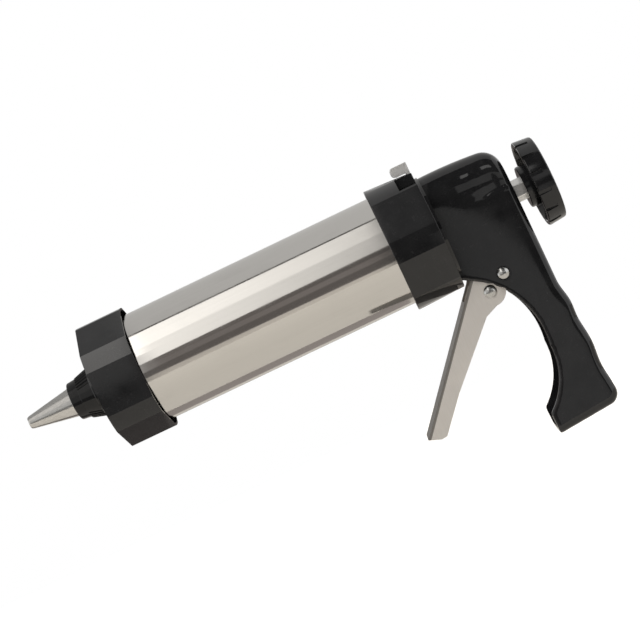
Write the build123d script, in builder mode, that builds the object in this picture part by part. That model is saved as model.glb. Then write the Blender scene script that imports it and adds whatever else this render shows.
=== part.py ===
# Cake decorating syringe: steel barrel, screwed front cap with a piping tip, and a pistol
# handle whose trigger drives a hexagonal plunger rod through a grip plate.
# Millimetres. X runs along the barrel towards the knob, Z is up, the grip hangs down.
# The origin is on the barrel's axis, halfway along the steel that shows.
import os
from math import cos, pi, radians, sin, sqrt

from build123d import *

os.makedirs("parts", exist_ok=True)

# Fits
running_gap = 0.1  # a guided sliding fit, per side
slip_gap = 0.15  # pieces that slip together and then stay
free_gap = 0.4  # moving pieces that pass each other
seat_gap = 0.3  # a moving piece resting at its stop
overrun = 2.0  # how far a cutter runs past what it cuts

# Barrel
barrel_radius = 27.5
barrel_wall = 0.8
barrel_shown = 129.2  # steel between cap and collar
barrel_in_cap = 17.0
barrel_in_collar = 13.2
thread_height = 0.6  # rolled thread at both ends
thread_pitch = 3.5
thread_count = 3
thread_end_margin = 2.0

# Front cap
cap_wall = 1.05  # at the middle of a flat
cap_length = 23.5
cap_flat_depth = 2.05
cap_turn = 31.2  # degrees, where its flats stand
cap_front_wall = 2.8
cap_mouth_wall = 1.2
cap_mouth_depth = 5.5
cap_edge_round = 1.2

# Nozzle adapter and its seal
seal_thickness = 1.0
seal_width = 3.0
adapter_flange_thickness = 2.4
adapter_neck_radius = 8.6
adapter_neck_length = 13.6
adapter_neck_wall = 1.8
adapter_funnel_radius = 14.0

# Tip nut
nut_length = 15.9
nut_front_wall = 0.65  # walls of the nut over its bore, front to back
nut_waist_wall = 1.35
nut_rib_front_wall = 1.55
nut_rib_back_wall = 3.75
nut_flange_wall = 4.85
nut_flange_length = 3.6
nut_nose_length = 5.1
nut_rib_height = 0.6
nut_rib_angle = 4.0  # degrees round the nut
nut_rib_step = 8.5
nut_ribs_in_group = 6
nut_rib_groups = 3
nut_first_rib = 105.0  # degrees

# Piping tip
tip_length = 29.9
tip_mouth_radius = 3.1
tip_wall = 0.6

# Piston
piston_length = 12.0
piston_web = 3.2
piston_skirt_wall = 2.2
piston_rest_gap = 1.8  # from the adapter when the plunger is in
piston_recess_radius = 9.0
piston_recess_depth = 5.2
piston_hub_wall = 2.6
washer_radius = 7.0
washer_thickness = 1.0
piston_nut_flats = 10.0
piston_nut_height = 3.2

# Plunger rod and knob
rod_flats = 9.8
rod_spigot_radius = 3.0
knob_gap = 5.0  # rod that shows between handle and knob hub
knob_radius = 21.6
knob_taper = 0.8  # its back is this much smaller in radius
knob_width = 9.2
knob_rim_wall = 2.6
knob_back_wall = 2.8
knob_hub_radius = 10.4
knob_hub_proud = 3.5
knob_groove_count = 14
knob_groove_width = 2.0
knob_groove_depth = 1.0
knob_groove_share = 0.68  # of the rim's width
knob_edge = 0.8
knob_socket_floor = 2.2
knob_screw_radius = 1.9
knob_screw_head_radius = 3.6
knob_screw_head = 2.2
knob_screw_length = 9.0
knob_dish_radius = 15.5
knob_dish_depth = 1.0

# Collar
collar_wall = 1.05  # at the middle of a flat
collar_length = 24.2
collar_flat_depth = 1.9
collar_edge = 0.5
slot_length = 8.9  # cross cut at the back of the collar, over the release tab
slot_cut = 2.0  # how deep it cuts into the neck's crown
slot_cheek_half_width = 9.4  # outside of the two cheeks that stay beside the tab's stem

# Handle housing
neck_length = 9.3
neck_rim = 1.5  # behind the collar
housing_length = 40.6
housing_front_top = 24.9
housing_back_top = 24.6
housing_corner_round = 9.5
housing_wall = 2.2
housing_edge_round = 3.6
grip_drop = 113.4  # from the axis down to the heel
grip_back_wall = 2.8
grip_floor_wall = 3.2
grip_front_edge_round = 0.7
grip_rib_thickness = 1.6
grip_rib_depth = 5.0
shoulder_places_shares = (0.0, 0.25, 0.52, 0.74)  # of the housing's length
shoulder_width_shares = (0.995, 0.995, 0.99, 0.985)  # of the housing's width
shoulder_round_shares = (0.49, 0.42, 0.38, 0.33)  # of each width
shoulder_top_shares = (0.98, 0.97, 0.95, 0.925)  # of the neck's radius
shoulder_bottom_share = 0.98  # of the neck's radius

# The grip's side outline, in shares of the housing's length and of the grip's drop
back_start_shares = (1.0, 0.405)
back_crests_shares = ((1.045, 0.503), (1.040, 0.586), (1.074, 0.694), (1.058, 0.803), (1.088, 0.905))
back_start_tangent_shares = (0, -1)
heel_mid_shares = (1.068, 0.955)
heel_end_shares = (0.985, 0.976)
toe_corner_shares = (0.282, 0.999)
toe_tip_shares = (0.276, 0.900)
palm_low_shares = (0.5345, 0.780)
palm_waist_shares = (0.606, 0.635)
palm_high_shares = (0.545, 0.4365)
throat_shares = (0.202, 0.277)

# Mechanism spaces in the handle
chamber_side_gap = 1.0  # beside the release plate
chamber_top = 19.0
channel_top = 19.5
spring_wall = 1.8
spring_wall_place = 10.3  # from the neck's front face to the wall

# Guide plate
guide_thickness = 1.5
guide_screw_inset = 8.2  # from the disc's edge
guide_screw_rise = 7.5
guide_screw_radius = 1.5
guide_screw_head_radius = 2.7
guide_screw_head = 1.2
guide_screw_length = 7.5

# Release plate with its thumb tab
release_thickness = 1.8
release_back_gap = 1.2  # to the spring wall
release_half_width = 11.0
release_stem_half_width = 6.0
release_foot_drop = 17.0  # tilt line under the axis
tab_rise = 4.2  # above the collar
tab_reach = 8.6
tab_depth = 4.9
tab_sheet = 1.3
tab_nose_round = 1.9

# Release and drive springs
release_spring_radius = 9.4
release_spring_wire = 1.1
release_spring_turns = 2.5
drive_spring_radius = 8.6
drive_spring_wire = 1.2
drive_spring_turns = 6.0
coil_samples = 24  # points per turn for the gap that is printed

# Trigger
pivot_back = 19.0  # pivot line behind the collar's back face
pivot_drop = 31.7
trigger_half_width = 9.7
trigger_side_gap = 0.6  # between trigger and housing
trigger_sheet = 1.2
trigger_lobe_radius = 8.0
trigger_finger_length = 17.0
trigger_finger_lean = 24.0  # degrees behind upright
trigger_finger_radius = 2.4
trigger_finger_half_width = 1.2
trigger_swing = 28.0  # degrees
lever_length = 76.0
lever_lean = 39.9  # degrees ahead of straight down
lever_set_forward = 17.2  # front edge's top ahead of the pivot
lever_top_rise = 1.0  # and above it
lever_width_bottom = 8.2
lever_width_top = 11.8
lever_heel_cut = 4.2
lever_waist_along = 50.0  # its narrowest place, from the top
lever_waist_width = 8.5
lever_crown_back = 2.4  # top corner of the cheeks, from the front edge's top
lever_crown_rise = 3.6
rivet_forward = 9.1  # second rivet from the pivot
rivet_drop = 5.4
rivet_lobe_radius = 7.5
rivet_relief_radius = 3.9
pin_radius = 2.4
pin_head_radius = 3.2
pin_head_rise = 1.6
pin_recess_radius = 3.8
pin_recess_depth = 0.6
rivet_radius = 1.9
rivet_head_radius = 3.1
rivet_head_rise = 1.3
spacer_wall = 1.0

# Drive plate
drive_thickness = 2.4
drive_above = 12.5
drive_below = 18.2

# Places along the barrel
cap_back = -barrel_shown / 2
cap_front = cap_back - cap_length
barrel_front = cap_back - barrel_in_cap
collar_front = barrel_shown / 2
collar_back = collar_front + collar_length
barrel_back = collar_front + barrel_in_collar
housing_back = collar_back + housing_length
neck_front = collar_back - neck_length
barrel_bore = barrel_radius - barrel_wall
thread_radius = barrel_radius + thread_height
cap_radius = thread_radius + running_gap + cap_wall + cap_flat_depth
collar_radius = thread_radius + slip_gap + collar_wall + collar_flat_depth
neck_radius = barrel_bore - seat_gap
slot_floor = neck_radius - slot_cut
adapter_bore_radius = adapter_neck_radius - adapter_neck_wall
nut_bore = adapter_neck_radius + slip_gap
tip_base_radius = adapter_neck_radius - slip_gap
seal_front = barrel_front - seal_thickness
adapter_back = seal_front
adapter_front = adapter_back - adapter_flange_thickness
neck_end = adapter_front - adapter_neck_length
nut_back = cap_front - free_gap
nut_front = nut_back - nut_length
tip_base = neck_end - slip_gap
tip_mouth = tip_base - tip_length
piston_front = adapter_back + piston_rest_gap
piston_back = piston_front + piston_length
hub_front = housing_back + knob_gap
knob_front = hub_front + knob_hub_proud
knob_back = knob_front + knob_width
knob_back_radius = knob_radius - knob_taper
guide_front = neck_front - guide_thickness
wall_front = neck_front + spring_wall_place
wall_back = wall_front + spring_wall
release_back = wall_front - release_back_gap
release_front = release_back - release_thickness
chamber_floor = release_foot_drop + release_thickness / 2 + seat_gap
pivot_x = collar_back + pivot_back
channel_half = trigger_half_width + trigger_side_gap
housing_half_width = channel_half + housing_wall
drive_half_width = channel_half - free_gap
chamber_half_width = release_half_width + chamber_side_gap
spring_wall_hole_radius = rod_flats / sqrt(3) + free_gap
guide_screw_spread = neck_radius - guide_screw_inset
tab_top = collar_radius + tab_rise
finger_radius_gap = trigger_finger_radius + seat_gap
finger_rest_x = pivot_x + trigger_finger_length * sin(radians(trigger_finger_lean))
drive_back = finger_rest_x - finger_radius_gap
drive_front = drive_back - drive_thickness
finger_out_x = pivot_x + trigger_finger_length * sin(radians(trigger_finger_lean - trigger_swing))
drive_travel = finger_rest_x - finger_out_x


# A face of revolution about the barrel's axis from its (x, radius) points
def turn_about_axis(points, mode=Mode.ADD):
    with BuildSketch(Plane.XY, mode=Mode.PRIVATE) as outline:
        with BuildLine():
            Polyline(*points, close=True)
        make_face()
    revolve(outline.sketch, axis=Axis.X, mode=mode)


# A round disc or bore of one radius between two places on the axis
def round_bar(start, end, radius, mode=Mode.ADD):
    with BuildSketch(Plane.YZ.offset(start), mode=Mode.PRIVATE) as disc:
        Circle(radius)
    extrude(disc.sketch, amount=end - start, mode=mode)


# A hexagonal bar or hole, flats facing the two sides
def hex_bar(start, end, flats, mode=Mode.ADD):
    with BuildSketch(Plane.YZ.offset(start), mode=Mode.PRIVATE) as hexagon:
        RegularPolygon(radius=flats / 2, side_count=6, major_radius=False, rotation=30)
    extrude(hexagon.sketch, amount=end - start, mode=mode)


# A round body with six shallow flats, for cap and collar
def six_flats(start, end, radius, flat_depth, turn, mode=Mode.ADD):
    with BuildSketch(Plane.YZ.offset(start), mode=Mode.PRIVATE) as outline:
        Circle(radius)
        RegularPolygon(
            radius=radius - flat_depth, side_count=6, major_radius=False, rotation=turn, mode=Mode.INTERSECT
        )
    extrude(outline.sketch, amount=end - start, mode=mode)


# A block given by its low and high corners
def block(low, high, mode=Mode.ADD):
    middle = [(a + b) / 2 for a, b in zip(low, high)]
    size = [b - a for a, b in zip(low, high)]
    with Locations(tuple(middle)):
        Box(*size, mode=mode)


# A plate seen from the side, from its (x, z) outline, between two values of Y
def side_plate(points, low_y, high_y, mode=Mode.ADD):
    with BuildSketch(Plane.XZ.offset(-high_y), mode=Mode.PRIVATE) as outline:
        with BuildLine():
            Polyline(*points, close=True)
        make_face()
    extrude(outline.sketch, amount=high_y - low_y, mode=mode)


# A cross bar along Y at (x, z)
def cross_bar(x, z, radius, low_y, high_y, mode=Mode.ADD):
    with BuildSketch(Plane.XZ.offset(-high_y), mode=Mode.PRIVATE) as disc:
        with Locations((x, z)):
            Circle(radius)
    extrude(disc.sketch, amount=high_y - low_y, mode=mode)


# Barrel: thin steel tube with a rolled thread at each end
def thread_places(end, inward):
    first = end + inward * (thread_end_margin + thread_height)
    return [first + inward * thread_pitch * i for i in range(thread_count)]


with BuildPart() as barrel:
    with BuildSketch(Plane.XY) as wall:
        with Locations(((barrel_front + barrel_back) / 2, barrel_radius / 2)):
            Rectangle(barrel_back - barrel_front, barrel_radius)
        for x in thread_places(barrel_front, 1) + thread_places(barrel_back, -1):
            with Locations((x, barrel_radius)):
                Circle(thread_height)
        with Locations(((barrel_front + barrel_back) / 2, barrel_bore / 2)):
            Rectangle(barrel_back - barrel_front + overrun, barrel_bore, mode=Mode.SUBTRACT)
    revolve(axis=Axis.X)
barrel.part.label = "barrel"
export_step(barrel.part, "parts/barrel.step")

# Front cap: screwed over the barrel, with six flats to grip
with BuildPart() as front_cap:
    six_flats(cap_front, cap_back, cap_radius, cap_flat_depth, cap_turn)
    front_rim = front_cap.edges().group_by(Axis.X)[0]
    chamfer(front_rim, cap_edge_round)
    round_bar(cap_front + cap_front_wall, cap_back + overrun, thread_radius + running_gap, Mode.SUBTRACT)
    mouth_start = cap_back - cap_mouth_depth
    mouth_radius = cap_radius - cap_mouth_wall
    six_flats(mouth_start, cap_back + overrun, mouth_radius, cap_flat_depth, cap_turn, Mode.SUBTRACT)
    round_bar(
        cap_front - overrun, cap_front + cap_front_wall + overrun, adapter_neck_radius + free_gap, Mode.SUBTRACT
    )
front_cap.part.label = "front_cap"
export_step(front_cap.part, "parts/front_cap.step")

# Seal between the barrel's end and the adapter
with BuildPart() as barrel_seal:
    round_bar(seal_front, barrel_front, barrel_radius)
    round_bar(seal_front - overrun, barrel_front + overrun, barrel_radius - seal_width, Mode.SUBTRACT)
barrel_seal.part.label = "barrel_seal"
export_step(barrel_seal.part, "parts/barrel_seal.step")

# Nozzle adapter: flange inside the cap, neck out through it, funnel bore
with BuildPart() as nozzle_adapter:
    turn_about_axis(
        [
            (adapter_back, adapter_funnel_radius),
            (adapter_back, barrel_radius),
            (adapter_front, barrel_radius),
            (adapter_front, adapter_neck_radius),
            (neck_end, adapter_neck_radius),
            (neck_end, adapter_bore_radius),
            (adapter_front, adapter_bore_radius),
        ]
    )
nozzle_adapter.part.label = "nozzle_adapter"
export_step(nozzle_adapter.part, "parts/nozzle_adapter.step")


# Radius of the piping tip's outside at a place along the axis
def tip_radius_at(x):
    return tip_base_radius + (tip_mouth_radius - tip_base_radius) * (tip_base - x) / tip_length


# Piping tip: a rolled steel cone, open at both ends
with BuildPart() as piping_tip:
    turn_about_axis(
        [
            (tip_base, tip_base_radius),
            (tip_mouth, tip_mouth_radius),
            (tip_mouth, tip_mouth_radius - tip_wall),
            (tip_base, tip_base_radius - tip_wall),
        ]
    )
piping_tip.part.label = "piping_tip"
export_step(piping_tip.part, "parts/piping_tip.step")

# Tip nut: ribbed ring that clamps the tip on the adapter's neck
with BuildPart() as tip_nut:
    nut_front_radius = nut_bore + nut_front_wall
    nut_waist_radius = nut_bore + nut_waist_wall
    nut_rib_front_radius = nut_bore + nut_rib_front_wall
    nut_rib_back_radius = nut_bore + nut_rib_back_wall
    nut_flange_radius = nut_bore + nut_flange_wall
    rib_front = nut_front + nut_nose_length
    rib_back = nut_back - nut_flange_length
    turn_about_axis(
        [
            (nut_back, nut_bore),
            (nut_back, nut_flange_radius),
            (rib_back, nut_flange_radius),
            (rib_back, nut_rib_back_radius),
            (rib_front, nut_rib_front_radius),
            (rib_front, nut_waist_radius),
            (nut_front, nut_front_radius),
            (nut_front, tip_radius_at(nut_front) + slip_gap),
            (tip_base, nut_bore),
        ]
    )
    for group in range(nut_rib_groups):
        for rib in range(nut_ribs_in_group):
            angle = nut_first_rib + group * 360 / nut_rib_groups + rib * nut_rib_step
            with BuildSketch(Plane.XY.rotated((angle, 0, 0)), mode=Mode.PRIVATE) as rib_side:
                with BuildLine():
                    Polyline(
                        (rib_back, nut_rib_back_radius - nut_rib_height),
                        (rib_back, nut_rib_back_radius + nut_rib_height),
                        (rib_front, nut_rib_front_radius + nut_rib_height),
                        (rib_front, nut_rib_front_radius - nut_rib_height),
                        close=True,
                    )
                make_face()
            revolve(rib_side.sketch, axis=Axis.X, revolution_arc=nut_rib_angle)
tip_nut.part.label = "tip_nut"
export_step(tip_nut.part, "parts/tip_nut.step")

# Piston: plastic cup that fits the bore, with a recess for its nut
recess_floor = piston_front + piston_recess_depth
web_back = recess_floor + piston_web
piston_radius = barrel_bore - running_gap
with BuildPart() as piston:
    hub_radius = piston_recess_radius + piston_hub_wall
    turn_about_axis(
        [
            (piston_front, piston_recess_radius),
            (piston_front, piston_radius),
            (piston_back, piston_radius),
            (piston_back, piston_radius - piston_skirt_wall),
            (piston_front + piston_web, piston_radius - piston_skirt_wall),
            (piston_front + piston_web, hub_radius),
            (web_back, hub_radius),
            (web_back, rod_spigot_radius + running_gap),
            (recess_floor, rod_spigot_radius + running_gap),
            (recess_floor, piston_recess_radius),
        ]
    )
piston.part.label = "piston"
export_step(piston.part, "parts/piston.step")

# Washer and nut that hold the piston on the rod
with BuildPart() as piston_washer:
    round_bar(recess_floor - washer_thickness, recess_floor, washer_radius)
    round_bar(piston_front, web_back, rod_spigot_radius + running_gap, Mode.SUBTRACT)
piston_washer.part.label = "piston_washer"
export_step(piston_washer.part, "parts/piston_washer.step")

nut_seat = recess_floor - washer_thickness
with BuildPart() as piston_nut:
    hex_bar(nut_seat - piston_nut_height, nut_seat, piston_nut_flats)
    round_bar(piston_front - overrun, web_back, rod_spigot_radius, Mode.SUBTRACT)
piston_nut.part.label = "piston_nut"
export_step(piston_nut.part, "parts/piston_nut.step")

# Plunger rod: hexagonal steel bar with a threaded spigot at the piston
socket_end = knob_back - knob_back_wall - knob_socket_floor + slip_gap
with BuildPart() as plunger_rod:
    hex_bar(web_back, socket_end - slip_gap, rod_flats)
    round_bar(nut_seat - piston_nut_height, web_back, rod_spigot_radius)
    round_bar(socket_end - knob_screw_length, socket_end, knob_screw_radius, Mode.SUBTRACT)
plunger_rod.part.label = "plunger_rod"
export_step(plunger_rod.part, "parts/plunger_rod.step")

# Knob: cup open towards the handle, with a hub round the rod and a grooved rim
with BuildPart() as knob:
    turn_about_axis(
        [
            (knob_front, knob_radius - knob_rim_wall),
            (knob_front, knob_radius - knob_edge),
            (knob_front + knob_edge, knob_radius),
            (knob_back - knob_edge, knob_back_radius),
            (knob_back, knob_back_radius - knob_edge),
            (knob_back, knob_dish_radius),
            (knob_back - knob_dish_depth, knob_dish_radius - knob_dish_depth),
            (knob_back - knob_dish_depth, 0),
            (hub_front, 0),
            (hub_front, knob_hub_radius),
            (knob_front, knob_hub_radius),
            (knob_back - knob_back_wall, knob_hub_radius),
            (knob_back - knob_back_wall, knob_back_radius - knob_rim_wall),
        ]
    )
    hex_bar(hub_front - overrun, socket_end, rod_flats + 2 * running_gap, Mode.SUBTRACT)
    round_bar(hub_front, knob_back + overrun, knob_screw_radius + slip_gap, Mode.SUBTRACT)
    head_floor = knob_back - knob_dish_depth - knob_screw_head - slip_gap
    round_bar(head_floor, knob_back + overrun, knob_screw_head_radius + slip_gap, Mode.SUBTRACT)
    groove_reach = knob_width * knob_groove_share
    for k in range(knob_groove_count):
        groove_plane = Plane.YZ.offset(knob_front).rotated((k * 360 / knob_groove_count, 0, 0))
        with BuildSketch(groove_plane, mode=Mode.PRIVATE) as groove:
            with Locations((0, knob_radius)):
                Rectangle(knob_groove_width, 2 * knob_groove_depth)
        extrude(groove.sketch, amount=groove_reach, mode=Mode.SUBTRACT)
knob.part.label = "knob"
export_step(knob.part, "parts/knob.step")

# Screw that holds the knob
with BuildPart() as knob_screw:
    head_front = head_floor + slip_gap / 2
    round_bar(head_front, head_front + knob_screw_head, knob_screw_head_radius)
    round_bar(socket_end - knob_screw_length + slip_gap, head_front, knob_screw_radius)
    with Locations((head_front + knob_screw_head, 0, 0)):
        Box(knob_screw_head, knob_screw_radius / 2, 2 * knob_screw_head_radius, mode=Mode.SUBTRACT)
knob_screw.part.label = "knob_screw"
export_step(knob_screw.part, "parts/knob_screw.step")

# Collar: ring with six flats that joins barrel and handle, slotted for the release tab
with BuildPart() as collar:
    six_flats(collar_front, collar_back, collar_radius, collar_flat_depth, 0)
    chamfer(collar.edges().group_by(Axis.X)[0], collar_edge)
    round_bar(collar_front - overrun, guide_front, thread_radius + slip_gap, Mode.SUBTRACT)
    round_bar(guide_front - overrun, collar_back + overrun, neck_radius + slip_gap, Mode.SUBTRACT)
    slot_start = collar_back - slot_length
    slot_top = collar_radius + overrun
    slot_middle = release_stem_half_width + free_gap
    for near, far in (
        (-collar_radius, -slot_cheek_half_width),
        (-slot_middle, slot_middle),
        (slot_cheek_half_width, collar_radius),
    ):
        block((slot_start, near, slot_floor), (collar_back + overrun, far, slot_top), Mode.SUBTRACT)
collar.part.label = "collar"
export_step(collar.part, "parts/collar.step")


# A point of the grip's outline, as shares of the housing's length and of the grip's drop
def grip_point(length_share, drop_share):
    return (collar_back + length_share * housing_length, -drop_share * grip_drop)


back_start = grip_point(*back_start_shares)
bumps = [grip_point(*place) for place in back_crests_shares]
heel_mid = grip_point(*heel_mid_shares)
heel_end = grip_point(*heel_end_shares)
toe_corner = grip_point(*toe_corner_shares)
toe_tip = grip_point(*toe_tip_shares)
palm_low = grip_point(*palm_low_shares)
palm_waist = grip_point(*palm_waist_shares)
palm_high = grip_point(*palm_high_shares)
throat = grip_point(*throat_shares)
throat_front = (collar_back, -neck_radius)
top_front = (collar_back, housing_front_top)
corner_start = (housing_back - housing_corner_round, housing_back_top)
corner_end = (housing_back, housing_back_top - housing_corner_round)
corner_mid = (
    housing_back - housing_corner_round * (1 - cos(pi / 4)),
    housing_back_top - housing_corner_round * (1 - sin(pi / 4)),
)

# Places of the guide plate's screws, across and up
screw_places = [
    (y, z) for y in (-guide_screw_spread, guide_screw_spread) for z in (-guide_screw_rise, guide_screw_rise)
]

# Handle: one moulding of neck, housing and grip, open below for the trigger
with BuildPart() as handle:
    with BuildSketch(Plane.XZ) as side:
        with BuildLine():
            Line(top_front, corner_start)
            ThreePointArc(corner_start, corner_mid, corner_end)
            Line(corner_end, back_start)
            heel = ThreePointArc(bumps[-1], heel_mid, heel_end)
            Spline(back_start, *bumps, tangents=(back_start_tangent_shares, heel % 0))
            Line(heel_end, toe_corner)
            Line(toe_corner, toe_tip)
            ThreePointArc(toe_tip, palm_low, palm_waist)
            ThreePointArc(palm_waist, palm_high, throat)
            Line(throat, throat_front)
            Line(throat_front, top_front)
        make_face()
    extrude(amount=housing_half_width, both=True)
    outer_edges = [
        e
        for e in handle.edges()
        if abs(abs(e.center().Y) - housing_half_width) < running_gap
        and (e.center().X > corner_start[0] or e.center().Z > 0 or e.center().Z < heel_end[1])
        and e.center().X > toe_corner[0]
    ]
    fillet(outer_edges, housing_edge_round)
    for place, width, corner, top in zip(
        shoulder_places_shares, shoulder_width_shares, shoulder_round_shares, shoulder_top_shares
    ):
        section_width = 2 * housing_half_width * width
        section_height = neck_radius * (top + shoulder_bottom_share)
        with BuildSketch(Plane.YZ.offset(collar_back + place * housing_length)):
            with Locations((0, neck_radius * (top - shoulder_bottom_share) / 2)):
                RectangleRounded(section_width, section_height, section_width * corner)
    loft()
    round_bar(neck_front, collar_back + neck_rim, neck_radius)

    # Chamber for the release plate, and the long channel for trigger and drive plate
    block(
        (neck_front - overrun, -chamber_half_width, -chamber_floor),
        (wall_front, chamber_half_width, chamber_top),
        Mode.SUBTRACT,
    )
    channel_back = housing_back - grip_back_wall
    channel = [
        (wall_back, channel_top),
        (channel_back, channel_top),
        (channel_back, back_start[1]),
        (bumps[1][0] - grip_back_wall, bumps[1][1]),
        (bumps[3][0] - grip_back_wall, bumps[3][1]),
        (heel_end[0] - grip_back_wall / 2, heel_end[1] + grip_floor_wall),
        (toe_tip[0] - overrun, toe_corner[1] + grip_floor_wall),
        (toe_tip[0] - overrun, toe_tip[1]),
        (collar_back, -chamber_floor - housing_wall - overrun),
        (wall_back, -chamber_floor),
    ]
    side_plate(channel, -channel_half, channel_half, Mode.SUBTRACT)

    # Rod holes through the spring wall and the back wall
    round_bar(wall_front - overrun, wall_back + overrun, spring_wall_hole_radius, Mode.SUBTRACT)
    hex_bar(channel_back - overrun, housing_back + overrun, rod_flats + 2 * running_gap, Mode.SUBTRACT)

    # Slot for the release tab's stem
    stem_gap = release_stem_half_width + free_gap
    block(
        (collar_back - slot_length + free_gap, -stem_gap, chamber_top - overrun),
        (wall_front, stem_gap, neck_radius + overrun),
        Mode.SUBTRACT,
    )

    # Pin holes, head recesses and the relief that the second rivet swings in
    cross_bar(pivot_x, -pivot_drop, pin_radius + running_gap, -collar_radius, collar_radius, Mode.SUBTRACT)
    for face in (-1, 1):
        near = face * (housing_half_width - pin_recess_depth)
        far = face * (housing_half_width + overrun)
        cross_bar(pivot_x, -pivot_drop, pin_recess_radius, min(near, far), max(near, far), Mode.SUBTRACT)
    for turn in (0, trigger_swing / 2, trigger_swing):
        x = pivot_x - rivet_forward * cos(radians(turn)) + rivet_drop * sin(radians(turn))
        z = -pivot_drop - rivet_forward * sin(radians(turn)) - rivet_drop * cos(radians(turn))
        cross_bar(x, z, rivet_relief_radius, -collar_radius, collar_radius, Mode.SUBTRACT)

    # Screw holes for the guide plate
    with BuildSketch(Plane.YZ.offset(neck_front), mode=Mode.PRIVATE) as holes:
        with Locations(*screw_places):
            Circle(guide_screw_radius)
    extrude(holes.sketch, amount=guide_screw_length, mode=Mode.SUBTRACT)

    # Ribs across the back of the grip's channel
    for x, z in (bumps[0], bumps[2], bumps[4]):
        block(
            (x - grip_back_wall - grip_rib_depth, -channel_half - running_gap, z),
            (x - grip_back_wall / 2, channel_half + running_gap, z + grip_rib_thickness),
        )
handle.part.label = "handle"
export_step(handle.part, "parts/handle.step")

# Guide plate: steel disc on the neck's end, with a close hexagonal hole for the rod
with BuildPart() as guide_plate:
    round_bar(guide_front, neck_front, neck_radius)
    hex_bar(guide_front - overrun, neck_front + overrun, rod_flats + 2 * running_gap, Mode.SUBTRACT)
    with BuildSketch(Plane.YZ.offset(guide_front), mode=Mode.PRIVATE) as holes:
        with Locations(*screw_places):
            Circle(guide_screw_radius + running_gap)
    extrude(holes.sketch, amount=guide_thickness, mode=Mode.SUBTRACT)
guide_plate.part.label = "guide_plate"
export_step(guide_plate.part, "parts/guide_plate.step")

# Screws of the guide plate
with BuildPart() as guide_screws:
    with BuildSketch(Plane.YZ.offset(guide_front - guide_screw_head), mode=Mode.PRIVATE) as heads:
        with Locations(*screw_places):
            Circle(guide_screw_head_radius)
    extrude(heads.sketch, amount=guide_screw_head)
    with BuildSketch(Plane.YZ.offset(guide_front), mode=Mode.PRIVATE) as shanks:
        with Locations(*screw_places):
            Circle(guide_screw_radius)
    extrude(shanks.sketch, amount=guide_screw_length)
    with BuildSketch(Plane.YZ.offset(guide_front - guide_screw_head), mode=Mode.PRIVATE) as slots:
        with Locations(*screw_places):
            Rectangle(2 * guide_screw_head_radius, guide_screw_radius / 2)
            Rectangle(guide_screw_radius / 2, 2 * guide_screw_head_radius)
    extrude(slots.sketch, amount=guide_screw_head / 2, mode=Mode.SUBTRACT)
guide_screws.part.label = "guide_screws"
export_step(guide_screws.part, "parts/guide_screws.step")

# Release plate: grips the rod at rest, its thumb tab stands out over the collar
release_x = (release_front + release_back) / 2
tab_front = release_back - tab_reach
with BuildPart() as release_plate:
    block(
        (release_front, -release_half_width, -release_foot_drop),
        (release_back, release_half_width, chamber_top - free_gap),
    )
    cross_bar(release_x, -release_foot_drop, release_thickness / 2, -release_half_width, release_half_width)
    block(
        (release_front, -release_stem_half_width, 0),
        (release_back, release_stem_half_width, tab_top - tab_sheet),
    )
    with BuildSketch(Plane.XZ.offset(-release_stem_half_width), mode=Mode.PRIVATE) as pad_side:
        with Locations(((tab_front + release_back) / 2, tab_top - tab_depth / 2)):
            RectangleRounded(tab_reach, tab_depth, tab_nose_round - running_gap)
        with Locations(((tab_front + 3 * release_back) / 4, tab_top - tab_depth / 2)):
            Rectangle(tab_reach / 2, tab_depth)
    extrude(pad_side.sketch, amount=2 * release_stem_half_width)
    block(
        (tab_front + tab_sheet, -release_stem_half_width + tab_sheet, tab_top - tab_depth - overrun),
        (release_front, release_stem_half_width - tab_sheet, tab_top - tab_sheet),
        Mode.SUBTRACT,
    )
    hex_bar(release_front - overrun, release_back + overrun, rod_flats + 2 * free_gap, Mode.SUBTRACT)
release_plate.part.label = "release_plate"
export_step(release_plate.part, "parts/release_plate.step")


# A coil spring round the axis: each quarter turn is two arcs that share a tangent
def coil_spring(start, end, mean_radius, wire, turns):
    rise = (end - start) / (2 * pi * turns)
    points = []
    headings = []
    for k in range(int(4 * turns) + 1):
        angle = k * pi / 2
        points.append(Vector(start + rise * angle, mean_radius * cos(angle), mean_radius * sin(angle)))
        headings.append(Vector(rise, -mean_radius * sin(angle), mean_radius * cos(angle)).normalized())
    with BuildPart() as coil:
        with BuildLine() as path:
            for p0, p1, t0, t1 in zip(points, points[1:], headings, headings[1:]):
                chord = p1 - p0
                bend = 2 * (1 - t0.dot(t1))
                along = chord.dot(t0 + t1)
                reach = (sqrt(along**2 + bend * chord.dot(chord)) - along) / bend
                middle = (p0 + p1 + (t0 - t1) * reach) / 2
                TangentArc(p0, middle, tangent=t0)
                TangentArc(middle, p1, tangent=-t1, tangent_from_first=False)
        with BuildSketch(Plane(origin=points[0], z_dir=headings[0])):
            Circle(wire / 2)
        sweep(path=path.wires()[0])
    spots = [path.wires()[0] @ (k / (coil_samples * turns)) for k in range(int(coil_samples * turns) + 1)]
    apart = int(coil_samples / 2)
    least = min((spot - other).length for i, spot in enumerate(spots) for other in spots[i + apart :])
    print("coil self-gap mm", round(least - wire, 2), "volume mm3", round(coil.part.volume, 1))
    return coil.part


# Springs behind the release plate and in front of the drive plate
release_spring = coil_spring(
    neck_front + release_spring_wire / 2 + seat_gap,
    release_front - release_spring_wire / 2 - seat_gap,
    release_spring_radius,
    release_spring_wire,
    release_spring_turns,
)
release_spring.label = "release_spring"
export_step(release_spring, "parts/release_spring.step")

drive_spring = coil_spring(
    wall_back + drive_spring_wire / 2 + seat_gap,
    drive_front - drive_spring_wire / 2 - seat_gap,
    drive_spring_radius,
    drive_spring_wire,
    drive_spring_turns,
)
drive_spring.label = "drive_spring"
export_step(drive_spring, "parts/drive_spring.step")

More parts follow.
